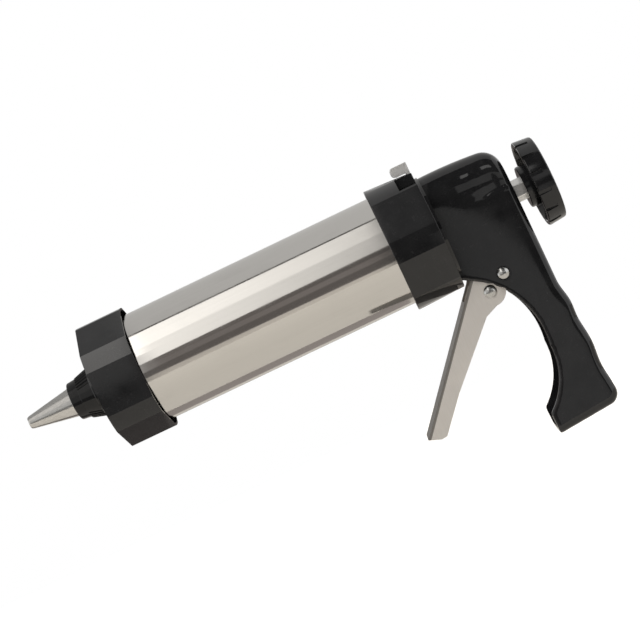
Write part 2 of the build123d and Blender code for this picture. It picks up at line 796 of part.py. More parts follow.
# Drive plate: the trigger pushes it forward and it takes the rod with it
with BuildPart() as drive_plate:
    block((drive_front, -drive_half_width, -drive_below), (drive_back, drive_half_width, drive_above))
    hex_bar(drive_front - overrun, drive_back + overrun, rod_flats + 2 * free_gap, Mode.SUBTRACT)
drive_plate.part.label = "drive_plate"
export_step(drive_plate.part, "parts/drive_plate.step")

# Trigger: one folded steel sheet, its web in front and its two cheeks beside the rod
lean = radians(lever_lean)
finger_lean = radians(trigger_finger_lean)
lever_top = (pivot_x - lever_set_forward, -pivot_drop + lever_top_rise)


# A point of the lever, down along its front edge and back from it
def lever_point(along, back):
    x = lever_top[0] - sin(lean) * along + cos(lean) * back
    z = lever_top[1] - cos(lean) * along - sin(lean) * back
    return (x, z)


# A point of the finger that pushes the drive plate, up along it and back from its middle
def finger_point(along, back):
    x = pivot_x + sin(finger_lean) * along + cos(finger_lean) * back
    z = -pivot_drop + cos(finger_lean) * along - sin(finger_lean) * back
    return (x, z)


rivet_x = pivot_x - rivet_forward
rivet_z = -pivot_drop - rivet_drop
cheek = [
    lever_top,
    lever_point(lever_length, 0),
    lever_point(lever_length - lever_heel_cut / 2, lever_width_bottom - lever_heel_cut / 2),
    lever_point(lever_length - lever_heel_cut, lever_width_bottom),
    lever_point(lever_waist_along, lever_waist_width),
    lever_point(lever_width_top, lever_width_top),
    (rivet_x, rivet_z - rivet_lobe_radius),
    (rivet_x, rivet_z),
    (pivot_x, -pivot_drop),
    (pivot_x, -pivot_drop + trigger_lobe_radius),
    (lever_top[0] + lever_crown_back, lever_top[1] + lever_crown_rise),
]
finger = [
    finger_point(0, -trigger_finger_half_width),
    finger_point(trigger_finger_length, -trigger_finger_half_width),
    finger_point(trigger_finger_length, trigger_finger_half_width),
    finger_point(0, trigger_finger_half_width),
]
finger_tip = finger_point(trigger_finger_length, 0)
between_cheeks = [
    lever_point(0, trigger_sheet),
    lever_point(lever_length + overrun, trigger_sheet),
    lever_point(lever_length + overrun, lever_length),
    lever_point(-lever_length, lever_length),
    lever_point(-lever_length, -lever_width_top),
    lever_point(0, -lever_width_top),
]
cheek_inside = trigger_half_width - trigger_sheet
with BuildPart() as trigger:
    side_plate(cheek, -trigger_half_width, trigger_half_width)
    side_plate(finger, -trigger_half_width, trigger_half_width)
    cross_bar(rivet_x, rivet_z, rivet_lobe_radius, -trigger_half_width, trigger_half_width)
    cross_bar(pivot_x, -pivot_drop, trigger_lobe_radius, -trigger_half_width, trigger_half_width)
    cross_bar(*finger_tip, trigger_finger_radius, -trigger_half_width, trigger_half_width)
    side_plate(between_cheeks, -cheek_inside, cheek_inside, Mode.SUBTRACT)
    for x, z, radius in ((pivot_x, -pivot_drop, pin_radius), (rivet_x, rivet_z, rivet_radius)):
        cross_bar(x, z, radius + running_gap, -collar_radius, collar_radius, Mode.SUBTRACT)
trigger.part.label = "trigger"
export_step(trigger.part, "parts/trigger.step")


# A cross pin with a dome head at each end
def domed_pin(x, z, shank_radius, head_radius, head_rise, half_length):
    with BuildPart() as pin:
        cross_bar(x, z, shank_radius, -half_length, half_length)
        for face in (-1, 1):
            with BuildSketch(Plane.XY.offset(z), mode=Mode.PRIVATE) as dome:
                with BuildLine():
                    edge = (x + head_radius, face * half_length)
                    crown = (x, face * (half_length + head_rise))
                    ball = (head_radius**2 + head_rise**2) / (2 * head_rise)
                    half = head_radius / 2
                    rise = head_rise - ball + sqrt(ball**2 - half**2)
                    ThreePointArc(edge, (x + half, face * (half_length + rise)), crown)
                    Line(crown, (x, face * half_length))
                    Line((x, face * half_length), edge)
                make_face()
            revolve(dome.sketch, axis=Axis((x, 0, z), (0, 1, 0)))
    return pin.part


# Pivot pin through handle and trigger
trigger_pin = domed_pin(
    pivot_x, -pivot_drop, pin_radius, pin_head_radius, pin_head_rise, housing_half_width - pin_recess_depth
)
trigger_pin.label = "trigger_pin"
export_step(trigger_pin, "parts/trigger_pin.step")

# Rivet that ties the trigger's cheeks, with its spacer sleeve
trigger_rivet = domed_pin(rivet_x, rivet_z, rivet_radius, rivet_head_radius, rivet_head_rise, trigger_half_width)
trigger_rivet.label = "trigger_rivet"
export_step(trigger_rivet, "parts/trigger_rivet.step")

with BuildPart() as rivet_spacer:
    spacer_half = cheek_inside - running_gap
    spacer_bore = rivet_radius + running_gap
    cross_bar(rivet_x, rivet_z, spacer_bore + spacer_wall, -spacer_half, spacer_half)
    cross_bar(rivet_x, rivet_z, spacer_bore, -trigger_half_width, trigger_half_width, Mode.SUBTRACT)
rivet_spacer.part.label = "rivet_spacer"
export_step(rivet_spacer.part, "parts/rivet_spacer.step")
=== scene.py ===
# Cake decorating syringe: the looks of its pieces, and the studio it is shown in.
# Lengths on the pieces are written in millimetres and turned into metres by MM; the studio's are metres.
from math import acos, atan2, cos, degrees, hypot, pi, radians, sin, sqrt

import bpy
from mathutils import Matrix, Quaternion, Vector


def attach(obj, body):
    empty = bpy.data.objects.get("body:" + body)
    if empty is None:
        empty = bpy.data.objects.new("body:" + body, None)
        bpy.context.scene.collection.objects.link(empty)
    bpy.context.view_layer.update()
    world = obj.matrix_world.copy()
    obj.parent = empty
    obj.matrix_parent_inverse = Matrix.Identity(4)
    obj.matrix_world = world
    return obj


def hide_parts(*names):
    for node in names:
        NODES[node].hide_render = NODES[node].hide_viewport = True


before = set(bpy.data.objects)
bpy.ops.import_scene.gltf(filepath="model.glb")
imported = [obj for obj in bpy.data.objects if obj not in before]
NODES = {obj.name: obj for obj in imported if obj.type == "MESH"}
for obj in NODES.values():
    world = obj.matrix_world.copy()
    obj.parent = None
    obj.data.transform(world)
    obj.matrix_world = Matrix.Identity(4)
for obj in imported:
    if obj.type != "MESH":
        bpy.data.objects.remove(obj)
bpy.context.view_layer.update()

MM = 0.001
SAME_SPOT = 0.000001  # metres, within which corners are one
PAST = 2.0  # how far a cut reaches past a face
WIDE = 31.0  # half the length of a cut right across the piece


# ---------------------------------------------------------------- modelling helpers


# Leaves edit mode and clears the selection
def clear_bench():
    if bpy.context.object and bpy.context.object.mode != "OBJECT":
        bpy.ops.object.mode_set(mode="OBJECT")
    bpy.ops.object.select_all(action="DESELECT")


# Makes one object the only one picked up
def take(piece):
    clear_bench()
    piece.select_set(True)
    bpy.context.view_layer.objects.active = piece


# Names the new primitive and settles its place into its mesh
def settle(name):
    piece = bpy.context.object
    piece.name = name
    piece.data.name = name
    bpy.ops.object.transform_apply(location=True, rotation=True, scale=True)
    return piece


# Opens edit mode with the faces, edges or vertices picked that pass a test on their corners
def pick(piece, kind, test):
    take(piece)
    bpy.ops.object.mode_set(mode="EDIT")
    bpy.ops.mesh.select_mode(type=kind)
    bpy.ops.mesh.select_all(action="DESELECT")
    bpy.ops.object.mode_set(mode="OBJECT")
    mesh = piece.data
    places = [v.co / MM for v in mesh.vertices]
    if kind == "VERT":
        items = [(v, [places[v.index]]) for v in mesh.vertices]
    elif kind == "EDGE":
        items = [(e, [places[i] for i in e.vertices]) for e in mesh.edges]
    else:
        items = [(p, [places[i] for i in p.vertices]) for p in mesh.polygons]
    for item, corners in items:
        item.select = bool(test(corners))
    bpy.ops.object.mode_set(mode="EDIT")


# Faces outwards, all over
def face_outwards(piece):
    take(piece)
    bpy.ops.object.mode_set(mode="EDIT")
    bpy.ops.mesh.select_all(action="SELECT")
    bpy.ops.mesh.remove_doubles(threshold=SAME_SPOT)
    bpy.ops.mesh.normals_make_consistent(inside=False)
    bpy.ops.object.mode_set(mode="OBJECT")


# A modifier put on and applied
def apply_modifier(piece, kind, **settings):
    take(piece)
    modifier = piece.modifiers.new(kind.lower(), kind)
    for key, value in settings.items():
        setattr(modifier, key, value)
    bpy.ops.object.modifier_apply(modifier=modifier.name)


# Cuts one shape out of a piece, joins it on, or keeps what both share
def carve(piece, other, operation="DIFFERENCE"):
    apply_modifier(piece, "BOOLEAN", operation=operation, solver="MANIFOLD", object=other)
    bpy.data.objects.remove(other)


# A turned piece: a ring drawn along X through its (x, radius) profile; its ends join, or close
def turned(name, profile, steps=160, ends="join"):
    clear_bench()
    x, radius = profile[0]
    bpy.ops.mesh.primitive_circle_add(
        vertices=steps, radius=radius * MM, location=(x * MM, 0, 0), rotation=(0, pi / 2, 0)
    )
    piece = settle(name)
    bpy.ops.object.mode_set(mode="EDIT")
    bpy.ops.mesh.select_mode(type="VERT")
    bpy.ops.mesh.select_all(action="SELECT")
    for (x0, r0), (x1, r1) in zip(profile, profile[1:]):
        bpy.ops.mesh.extrude_region_move(TRANSFORM_OT_translate={"value": ((x1 - x0) * MM, 0, 0)})
        bpy.ops.transform.resize(value=(1, r1 / r0, r1 / r0), center_override=(x1 * MM, 0, 0))
    bpy.ops.mesh.select_all(action="DESELECT")
    bpy.ops.mesh.select_non_manifold()
    if ends == "join":
        bpy.ops.mesh.bridge_edge_loops()
    else:
        bpy.ops.mesh.edge_face_add()
    bpy.ops.object.mode_set(mode="OBJECT")
    face_outwards(piece)
    return piece


# A round bar along X between two places
def bar_along(name, start, end, radius, sides=96):
    clear_bench()
    bpy.ops.mesh.primitive_cylinder_add(
        vertices=sides,
        radius=radius * MM,
        depth=(end - start) * MM,
        location=((start + end) / 2 * MM, 0, 0),
        rotation=(0, pi / 2, 0),
    )
    return settle(name)


# A six-sided bar whose flats stand at a turn, measured from Y towards Z, and at a distance. Its top and
# bottom can rise towards the front by a factor, while the four side flats keep their planes
def six_sided(name, start, end, flat_distance, turn, front_rise=1.0):
    piece = bar_along(name, start, end, flat_distance / cos(pi / 6), sides=6)
    first = piece.data.vertices[0].co
    corner_now = atan2(first.z, first.y)
    piece.rotation_euler = (radians(turn + 30) - corner_now, 0, 0)
    take(piece)
    bpy.ops.object.transform_apply(location=True, rotation=True, scale=True)
    if front_rise > 1.0:
        pick(piece, "VERT", lambda c: c[0].x < (start + end) / 2 and abs(c[0].z) > flat_distance / 2)
        bpy.ops.transform.resize(value=(1, 2 - front_rise, front_rise), center_override=(start * MM, 0, 0))
        bpy.ops.object.mode_set(mode="OBJECT")
    return piece


# A round bar across the piece, along Y
def bar_across(name, x, z, radius, low_y, high_y, sides=64):
    clear_bench()
    bpy.ops.mesh.primitive_cylinder_add(
        vertices=sides,
        radius=radius * MM,
        depth=(high_y - low_y) * MM,
        location=(x * MM, (low_y + high_y) / 2 * MM, z * MM),
        rotation=(pi / 2, 0, 0),
    )
    return settle(name)


# A block between two corners
def block(name, low, high):
    clear_bench()
    middle = [(a + b) / 2 * MM for a, b in zip(low, high)]
    bpy.ops.mesh.primitive_cube_add(size=1, location=middle)
    bpy.context.object.scale = [(b - a) * MM for a, b in zip(low, high)]
    return settle(name)


# A plate seen from the side: its outline is placed point by point, filled and extruded across
def side_plate(name, outline, low_y, high_y):
    clear_bench()
    bpy.ops.mesh.primitive_circle_add(vertices=len(outline), radius=MM, fill_type="NGON")
    piece = settle(name)
    for vertex, (x, z) in zip(piece.data.vertices, outline):
        vertex.co = (x * MM, low_y * MM, z * MM)
    bpy.ops.object.mode_set(mode="EDIT")
    bpy.ops.mesh.select_all(action="SELECT")
    bpy.ops.mesh.extrude_region_move(TRANSFORM_OT_translate={"value": (0, (high_y - low_y) * MM, 0)})
    bpy.ops.object.mode_set(mode="OBJECT")
    face_outwards(piece)
    return piece


# A skin over a row of rings that have the same number of points, closed at both ends
def ring_skin(name, rings):
    clear_bench()
    count = len(rings[0])
    bpy.ops.mesh.primitive_grid_add(x_subdivisions=count, y_subdivisions=len(rings) - 1, size=MM)
    piece = settle(name)
    assert len(piece.data.vertices) == (count + 1) * len(rings), "the grid's size differs"
    for i, vertex in enumerate(piece.data.vertices):
        ring = rings[i // (count + 1)]
        vertex.co = Vector(ring[i % (count + 1) % count]) * MM
    bpy.ops.object.mode_set(mode="EDIT")
    bpy.ops.mesh.select_all(action="SELECT")
    bpy.ops.mesh.remove_doubles(threshold=SAME_SPOT)
    bpy.ops.mesh.select_all(action="DESELECT")
    bpy.ops.mesh.select_non_manifold()
    bpy.ops.mesh.fill_holes(sides=0)
    bpy.ops.object.mode_set(mode="OBJECT")
    face_outwards(piece)
    return piece


# Copies of one shape turned about the barrel's axis, each with its own mesh
def repeat_round(shape, angles):
    copies = []
    for angle in angles:
        take(shape)
        bpy.ops.object.duplicate(linked=False)
        copy = bpy.context.object
        copy.rotation_euler = (radians(angle), 0, 0)
        bpy.ops.object.transform_apply(location=True, rotation=True, scale=True)
        copies.append(copy)
    bpy.data.objects.remove(shape)
    return copies


# Whether an edge lies in one of a plate's two side faces
def in_side_face(corners, half_width):
    a, b = corners
    return abs(abs(a.y) - half_width) < 0.01 and abs(a.y - b.y) < 0.01


# Rounds the picked edges of a piece
def round_edges(piece, test, width, segments=3):
    pick(piece, "EDGE", test)
    bpy.ops.mesh.bevel(offset=width * MM, segments=segments, profile=0.5, clamp_overlap=True)
    bpy.ops.object.mode_set(mode="OBJECT")


# A finished piece: smooth faces, its material, its body, and the imported node it replaces hidden
def hand_over(piece, body, node, material, angle=32):
    take(piece)
    bpy.ops.object.shade_smooth_by_angle(angle=radians(angle))
    apply_modifier(piece, "WEIGHTED_NORMAL", keep_sharp=True)
    piece.data.materials.clear()
    piece.data.materials.append(material)
    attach(piece, body)
    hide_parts(node)


# Points on the arc through three places
def arc_through(a, m, b, count):
    (ax, az), (mx, mz), (bx, bz) = a, m, b
    d = 2 * (ax * (mz - bz) + mx * (bz - az) + bx * (az - mz))
    sa, sm, sb = ax * ax + az * az, mx * mx + mz * mz, bx * bx + bz * bz
    cx = (sa * (mz - bz) + sm * (bz - az) + sb * (az - mz)) / d
    cz = (sa * (bx - mx) + sm * (ax - bx) + sb * (mx - ax)) / d
    radius = hypot(ax - cx, az - cz)
    start, middle, end = (atan2(z - cz, x - cx) for x, z in (a, m, b))
    while middle < start:
        middle += 2 * pi
    while end < start:
        end += 2 * pi
    if middle > end:
        end -= 2 * pi
    return [
        (cx + radius * cos(start + (end - start) * k / count), cz + radius * sin(start + (end - start) * k / count))
        for k in range(count + 1)
    ]


# Points on a smooth line through places, with given directions at its ends
def smooth_line(places, start_heading, end_heading, count):
    slopes = [Vector(start_heading) * (Vector(places[1]) - Vector(places[0])).length]
    for before, after in zip(places, places[2:]):
        slopes.append((Vector(after) - Vector(before)) / 2)
    slopes.append(Vector(end_heading) * (Vector(places[-1]) - Vector(places[-2])).length)
    points = []
    for p0, p1, m0, m1 in zip(places, places[1:], slopes, slopes[1:]):
        p0, p1 = Vector(p0), Vector(p1)
        for k in range(count):
            t = k / count
            spot = (
                p0 * (2 * t**3 - 3 * t**2 + 1)
                + m0 * (t**3 - 2 * t**2 + t)
                + p1 * (3 * t**2 - 2 * t**3)
                + m1 * (t**3 - t**2)
            )
            points.append((spot.x, spot.y))
    points.append(tuple(places[-1]))
    return points


# ---------------------------------------------------------------- finishes


# A node that rescales a value from one span to another
def rescaler(nodes, from_low, from_high, low, high):
    scale = nodes.new("ShaderNodeMapRange")
    for field, value in (("From Min", from_low), ("From Max", from_high), ("To Min", low), ("To Max", high)):
        scale.inputs[field].default_value = value
    return scale


# A new material with its node tree, its shader and the object's own coordinates
class Finish:
    def __init__(self, name, metallic, roughness):
        self.material = bpy.data.materials.new(name)
        self.material.use_nodes = True
        self.nodes = self.material.node_tree.nodes
        self.links = self.material.node_tree.links
        self.shader = self.nodes["Principled BSDF"]
        self.shader.inputs["Metallic"].default_value = metallic
        self.shader.inputs["Roughness"].default_value = roughness
        self.place = self.nodes.new("ShaderNodeTexCoord").outputs["Object"]
        self.height = None

    # Cloudy pattern of a size in millimetres along each axis
    def cloud(self, size, detail=3.0, turn=(0, 0, 0)):
        mapping = self.nodes.new("ShaderNodeMapping")
        mapping.inputs["Scale"].default_value = [1 / (s * MM) for s in size]
        mapping.inputs["Rotation"].default_value = [radians(a) for a in turn]
        noise = self.nodes.new("ShaderNodeTexNoise")
        noise.inputs["Scale"].default_value = 1.0
        noise.inputs["Detail"].default_value = detail
        self.links.new(self.place, mapping.inputs["Vector"])
        self.links.new(mapping.outputs["Vector"], noise.inputs["Vector"])
        return noise.outputs["Fac"]

    # Rescales a pattern to low..high, from the span where a cloud mostly lies unless another is given
    def spread(self, pattern, low, high, start=0.35, end=0.65):
        scale = rescaler(self.nodes, start, end, low, high)
        self.links.new(pattern, scale.inputs["Value"])
        return scale.outputs["Result"]

    # Colour that wanders between two shades with a pattern
    def shade(self, pattern, dark, light):
        mix = self.nodes.new("ShaderNodeMix")
        mix.data_type = "RGBA"
        mix.inputs["A"].default_value = (*dark, 1)
        mix.inputs["B"].default_value = (*light, 1)
        self.links.new(pattern, mix.inputs["Factor"])
        self.links.new(mix.outputs["Result"], self.shader.inputs["Base Color"])
        return mix

    # Marks over the colour, where a mask is high
    def mark(self, mix, mask, colour):
        over = self.nodes.new("ShaderNodeMix")
        over.data_type = "RGBA"
        over.inputs["B"].default_value = (*colour, 1)
        self.links.new(mix.outputs["Result"], over.inputs["A"])
        self.links.new(mask, over.inputs["Factor"])
        self.links.new(over.outputs["Result"], self.shader.inputs["Base Color"])

    # Roughness that wanders between two values with a pattern
    def rough(self, pattern, low, high):
        self.links.new(self.spread(pattern, low, high), self.shader.inputs["Roughness"])

    # Relief from a pattern, its depth in millimetres, added to what is there
    def relief(self, pattern, depth):
        bump = self.nodes.new("ShaderNodeBump")
        bump.inputs["Strength"].default_value = 1.0
        bump.inputs["Distance"].default_value = depth * MM
        self.links.new(pattern, bump.inputs["Height"])
        if self.height:
            self.links.new(self.height, bump.inputs["Normal"])
        self.height = bump.outputs["Normal"]
        self.links.new(self.height, self.shader.inputs["Normal"])


# Black moulded plastic: faint waves of the mould, rubbed patches and hairline scratches
def moulded_plastic(name, dark, light, gloss_low, gloss_high, wave=0.02, seed_turn=0, shine=0.5):
    finish = Finish(name, 0.0, gloss_low)
    finish.shader.inputs["Specular IOR Level"].default_value = shine
    patches = finish.cloud((9, 9, 9), turn=(seed_turn, 0, 0))
    dust = finish.cloud((1.6, 1.6, 1.6), detail=5, turn=(0, seed_turn, 0))
    scratches = finish.cloud((14, 0.5, 0.5), detail=4, turn=(12, seed_turn, 18))
    mix = finish.shade(finish.spread(patches, 0, 1), dark, light)
    worn = finish.spread(dust, 0, 0.35, 0.60, 0.74)
    finish.mark(mix, worn, tuple(min(1, c * 2.2 + 0.004) for c in light))
    finish.rough(patches, gloss_low, gloss_high)
    finish.relief(finish.cloud((22, 22, 22), detail=1), wave)
    finish.relief(finish.cloud((3.2, 3.2, 3.2), detail=2), wave * 0.06)
    finish.relief(scratches, 0.0016)
    return finish.material


# Brushed or ground steel: grain along one way, patches of haze, a few finer scratches
def drawn_steel(name, dark, light, rough_low, rough_high, grain, grain_depth, turn=(0, 0, 0)):
    finish = Finish(name, 1.0, rough_low)
    lines = finish.cloud(grain, detail=5, turn=turn)
    haze = finish.cloud((16, 16, 16), detail=3)
    mix = finish.shade(finish.spread(lines, 0, 1), dark, light)
    stain = finish.spread(finish.cloud((24, 12, 12), detail=4), 0, 0.25, 0.55, 0.75)
    finish.mark(mix, stain, tuple(c * 0.86 for c in dark))
    finish.rough(haze, rough_low, rough_high)
    finish.relief(lines, grain_depth)
    finish.relief(finish.cloud((5, 5, 5), detail=2), grain_depth * 0.5)
    return finish.material


# Matt plastic or rubber: fine pebbled skin with rubbed patches
def matt_skin(name, dark, light, rough_low, rough_high, pebble, depth):
    finish = Finish(name, 0.0, rough_low)
    patches = finish.cloud((7, 7, 7), detail=3)
    pebbles = finish.cloud((pebble, pebble, pebble), detail=2)
    finish.shade(finish.spread(patches, 0, 1), dark, light)
    finish.rough(patches, rough_low, rough_high)
    finish.relief(pebbles, depth)
    return finish.material


black_handle = moulded_plastic("black_handle", (0.0075, 0.0075, 0.008), (0.011, 0.011, 0.0115), 0.035, 0.065, 0.03)
black_cap = moulded_plastic("black_cap", (0.009, 0.009, 0.0095), (0.012, 0.012, 0.0125), 0.05, 0.09, 0.012, 31)
black_collar = moulded_plastic("black_collar", (0.009, 0.009, 0.0095), (0.012, 0.012, 0.0125), 0.04, 0.075, 0.010, 57)
black_knob = moulded_plastic("black_knob", (0.006, 0.006, 0.0065), (0.009, 0.009, 0.0095), 0.10, 0.18, 0.01, 73)
black_nut = moulded_plastic("black_nut", (0.004, 0.004, 0.0042), (0.006, 0.006, 0.0062), 0.08, 0.14, 0.008, 12, 0.36)
adapter_black = matt_skin("adapter_black", (0.02, 0.02, 0.021), (0.034, 0.034, 0.034), 0.38, 0.52, 0.5, 0.006)
piston_black = matt_skin("piston_black", (0.018, 0.018, 0.019), (0.03, 0.03, 0.03), 0.34, 0.48, 0.6, 0.006)
seal_white = matt_skin("seal_white", (0.66, 0.65, 0.61), (0.78, 0.77, 0.73), 0.5, 0.65, 0.35, 0.01)
barrel_steel = drawn_steel(
    "barrel_steel", (0.615, 0.60, 0.575), (0.64, 0.625, 0.60), 0.07, 0.11, (90, 0.25, 0.25), 0.00025
)
tip_steel = drawn_steel("tip_steel", (0.56, 0.55, 0.53), (0.66, 0.65, 0.63), 0.17, 0.25, (18, 0.5, 0.5), 0.0012)
rod_steel = drawn_steel("rod_steel", (0.74, 0.735, 0.72), (0.82, 0.815, 0.80), 0.30, 0.38, (40, 0.3, 0.3), 0.001)
trigger_steel = drawn_steel(
    "trigger_steel", (0.91, 0.875, 0.83), (0.94, 0.905, 0.865), 0.50, 0.58, (0.4, 0.4, 9), 0.0004, (0, -40, 0)
)
plate_steel = drawn_steel("plate_steel", (0.5, 0.49, 0.47), (0.6, 0.59, 0.57), 0.3, 0.42, (0.4, 14, 0.4), 0.003)
tab_steel = drawn_steel("tab_steel", (0.90, 0.895, 0.88), (0.95, 0.945, 0.93), 0.46, 0.56, (0.5, 10, 0.5), 0.002)
wire_steel = drawn_steel("wire_steel", (0.42, 0.42, 0.41), (0.56, 0.56, 0.55), 0.22, 0.34, (1.2, 1.2, 1.2), 0.002)
pin_steel = drawn_steel("pin_steel", (0.50, 0.495, 0.48), (0.60, 0.595, 0.58), 0.16, 0.26, (0.8, 0.8, 0.8), 0.004)


# ---------------------------------------------------------------- places, from the frame

CAP_FRONT, CAP_BACK = -88.1, -64.6
COLLAR_FRONT, COLLAR_BACK = 64.6, 88.8
BARREL_FRONT, BARREL_BACK = -81.6, 77.8
BARREL_RADIUS, BARREL_BORE = 27.5, 26.7
THREAD_RADIUS = 28.1
NECK_FRONT, NECK_RADIUS = 79.5, 26.4
HOUSING_BACK, HOUSING_HALF = 129.4, 12.5
CHANNEL_HALF, CHANNEL_BACK = 10.3, 126.6
SPRING_WALL_BACK = 91.6
CHAMBER_HALF, CHAMBER_FLOOR, CHAMBER_TOP = 12.0, -18.2, 19.0
PIVOT_X, PIVOT_Z = 107.8, -31.7
PIVOT_SHANK, PIVOT_HEAD, PIVOT_HEADS_APART = 2.4, 3.2, 11.9
RIVET_X, RIVET_Z = 98.7, -37.1
RIVET_SHANK, RIVET_HEAD = 1.9, 3.1
TRIGGER_HALF, TRIGGER_SWING = 9.7, 28
ROD_FLAT = 4.9  # from the axis
PLATE_FRONT, PLATE_BACK, PLATE_HALF, PLATE_FOOT = 86.8, 88.6, 11.0, -17.0
STEM_HALF, STEM_SLOT_HALF = 6.0, 6.4


# ---------------------------------------------------------------- barrel


# The steel tube, with three rolled rings for a thread at each end
def make_barrel():
    inset, pitch, ring_reach = 2.6, 3.5, 0.6
    profile = [(BARREL_FRONT, BARREL_BORE + 0.1), (BARREL_FRONT, BARREL_RADIUS)]
    rings = [BARREL_FRONT + inset + pitch * k for k in range(3)]
    rings += [BARREL_BACK - inset - pitch * k for k in (2, 1, 0)]
    for place in rings:
        for share, rise in ((-0.85, 0.0), (-0.5, 0.42), (0, 0.6), (0.5, 0.42), (0.85, 0.0)):
            profile.append((place + share * ring_reach, BARREL_RADIUS + rise))
    profile += [(BARREL_BACK, BARREL_RADIUS), (BARREL_BACK, BARREL_BORE), (BARREL_FRONT, BARREL_BORE)]
    barrel = turned("steel_barrel", profile, steps=256)
    hand_over(barrel, "housing", "barrel", barrel_steel, angle=40)


# ---------------------------------------------------------------- front cap and collar


CAP_RADIUS, CAP_FLAT, CAP_TURN = 31.3, 29.25, 1.2
COLLAR_RADIUS, COLLAR_FLAT, COLLAR_TURN, COLLAR_RISE = 31.2, 29.5, 30, 1.055
ROUND_STEPS = 240


# Whether an edge runs along X on a crease between a flat and the round
def on_crease(corners, radius, flat_distance, turn):
    a, b = corners
    if abs(a.x - b.x) < 5 or abs(hypot(a.y, a.z) - radius) > 0.2:
        return False
    half = degrees(acos(flat_distance / radius))
    angle = (degrees(atan2(a.z, a.y)) - turn) % 60
    return min(abs(angle - half), abs(angle - (60 - half))) < 0.6


# A round body with six pressed flats, its creases and its end rims rounded
def flatted_body(name, start, end, radius, flat_distance, turn, crease, front_round, back_round, front_rise=1.0):
    body = bar_along(name, start, end, radius, sides=ROUND_STEPS)
    flats = six_sided(name + "_flats", start - PAST, end + PAST, flat_distance, turn, front_rise)
    carve(body, flats, "INTERSECT")
    if crease:
        round_edges(body, lambda c: on_crease(c, radius, flat_distance, turn), crease, 4)
    for place, width in ((start, front_round), (end, back_round)):
        round_edges(body, lambda c: abs(c[0].x - place) < 0.01 and abs(c[1].x - place) < 0.01, width, 4)
    return body


# The cap: a mouth with the same flats at its back, the thread's bore, and the tip's hole in its front wall
def make_front_cap():
    front_wall, mouth_depth, mouth_radius, mouth_flat, hole_radius = 2.8, 5.5, 30.1, 28.35, 9.0
    cap = flatted_body("screwed_front_cap", CAP_FRONT, CAP_BACK, CAP_RADIUS, CAP_FLAT, CAP_TURN, 0.7, 1.2, 0.35)
    mouth = bar_along("cap_mouth", CAP_BACK - mouth_depth, CAP_BACK + 3, mouth_radius, sides=ROUND_STEPS)
    carve(mouth, six_sided("mouth_flats", CAP_BACK - 8, CAP_BACK + 6, mouth_flat, CAP_TURN), "INTERSECT")
    carve(cap, mouth)
    carve(cap, bar_along("cap_bore", CAP_FRONT + front_wall, CAP_BACK + PAST, THREAD_RADIUS + 0.1, sides=ROUND_STEPS))
    carve(cap, bar_along("cap_hole", CAP_FRONT - PAST, CAP_FRONT + 5, hole_radius))
    hand_over(cap, "cap", "front_cap", black_cap)


# The collar: the thread's bore, the neck's seat, and the cross cut at its top back with two cheeks left
# beside the tab's stem. Before the cut a shallow relief leaves room for the pressed tab
def make_collar():
    bore_back, seat_front = 78.0, 76.0
    slot_front, slot_floor, slot_top, cheek_side = COLLAR_BACK - 8.9, 24.4, 34, 9.4
    relief_front, relief_floor = COLLAR_BACK - 13.6, 29.3
    collar = flatted_body(
        "slotted_collar", COLLAR_FRONT, COLLAR_BACK, COLLAR_RADIUS, COLLAR_FLAT, COLLAR_TURN, 0, 0.4, 0.35, COLLAR_RISE
    )
    carve(collar, bar_along("collar_bore", COLLAR_FRONT - PAST, bore_back, THREAD_RADIUS + 0.15, sides=ROUND_STEPS))
    carve(collar, bar_along("collar_seat", seat_front, COLLAR_BACK + PAST, NECK_RADIUS + 0.15, sides=ROUND_STEPS))
    for near, far in ((-33, -cheek_side), (-STEM_SLOT_HALF, STEM_SLOT_HALF), (cheek_side, 33)):
        carve(collar, block("collar_slot", (slot_front, near, slot_floor), (COLLAR_BACK + PAST, far, slot_top)))
    relief_low = (relief_front, -STEM_SLOT_HALF, relief_floor)
    carve(collar, block("thumb_relief", relief_low, (COLLAR_BACK - 8, STEM_SLOT_HALF, slot_top)))
    hand_over(collar, "housing", "collar", black_collar)


# ---------------------------------------------------------------- tip nut and piping tip


# The nut: a flanged cone with three groups of ribs
def make_tip_nut():
    profile = [
        (-88.5, 8.75), (-88.5, 13.35), (-88.75, 13.6), (-91.8, 13.6), (-92.1, 13.3), (-92.1, 12.5),
        (-99.15, 10.35), (-99.35, 10.1), (-99.6, 10.05), (-103.9, 9.55), (-104.25, 9.3), (-104.4, 8.95),
        (-104.4, 8.2), (-98.75, 8.75),
    ]
    nut = turned("ribbed_tip_nut", profile, steps=180)
    rib = side_plate("rib", [(-99.3, 9.6), (-99.3, 10.85), (-92.0, 13.05), (-92.0, 11.8)], -0.42, 0.42)
    round_edges(rib, lambda c: min(c[0].z, c[1].z) > 10.5 and abs(c[0].y - c[1].y) < 0.1, 0.3, 3)
    first_angle, group_step, rib_step = 17.0, 120, 8.5
    angles = [first_angle + group * group_step + k * rib_step for group in range(3) for k in range(6)]
    for copy in repeat_round(rib, angles):
        carve(nut, copy, "UNION")
    hand_over(nut, "nut", "tip_nut", black_nut, angle=35)


# The tip: a thin steel cone, its end rolled round
def make_piping_tip():
    back, back_radius, end_radius, length, sheet = -98.75, 8.45, 3.1, 29.9, 0.6

    def radius_at(x):
        return back_radius + (end_radius - back_radius) * (back - x) / length

    profile = [(back, back_radius - sheet), (back, back_radius)]
    profile += [(x, radius_at(x)) for x in (-104, -110, -116, -122, -127.6)]
    profile += [(-128.4, 3.02), (-128.65, 2.85), (-128.5, 2.6), (-127.8, 2.6)]
    profile += [(x, radius_at(x) - sheet) for x in (-122, -116, -110, -104)]
    tip = turned("piping_tip_cone", profile, steps=128)
    hand_over(tip, "housing", "piping_tip", tip_steel, angle=40)


# ---------------------------------------------------------------- handle

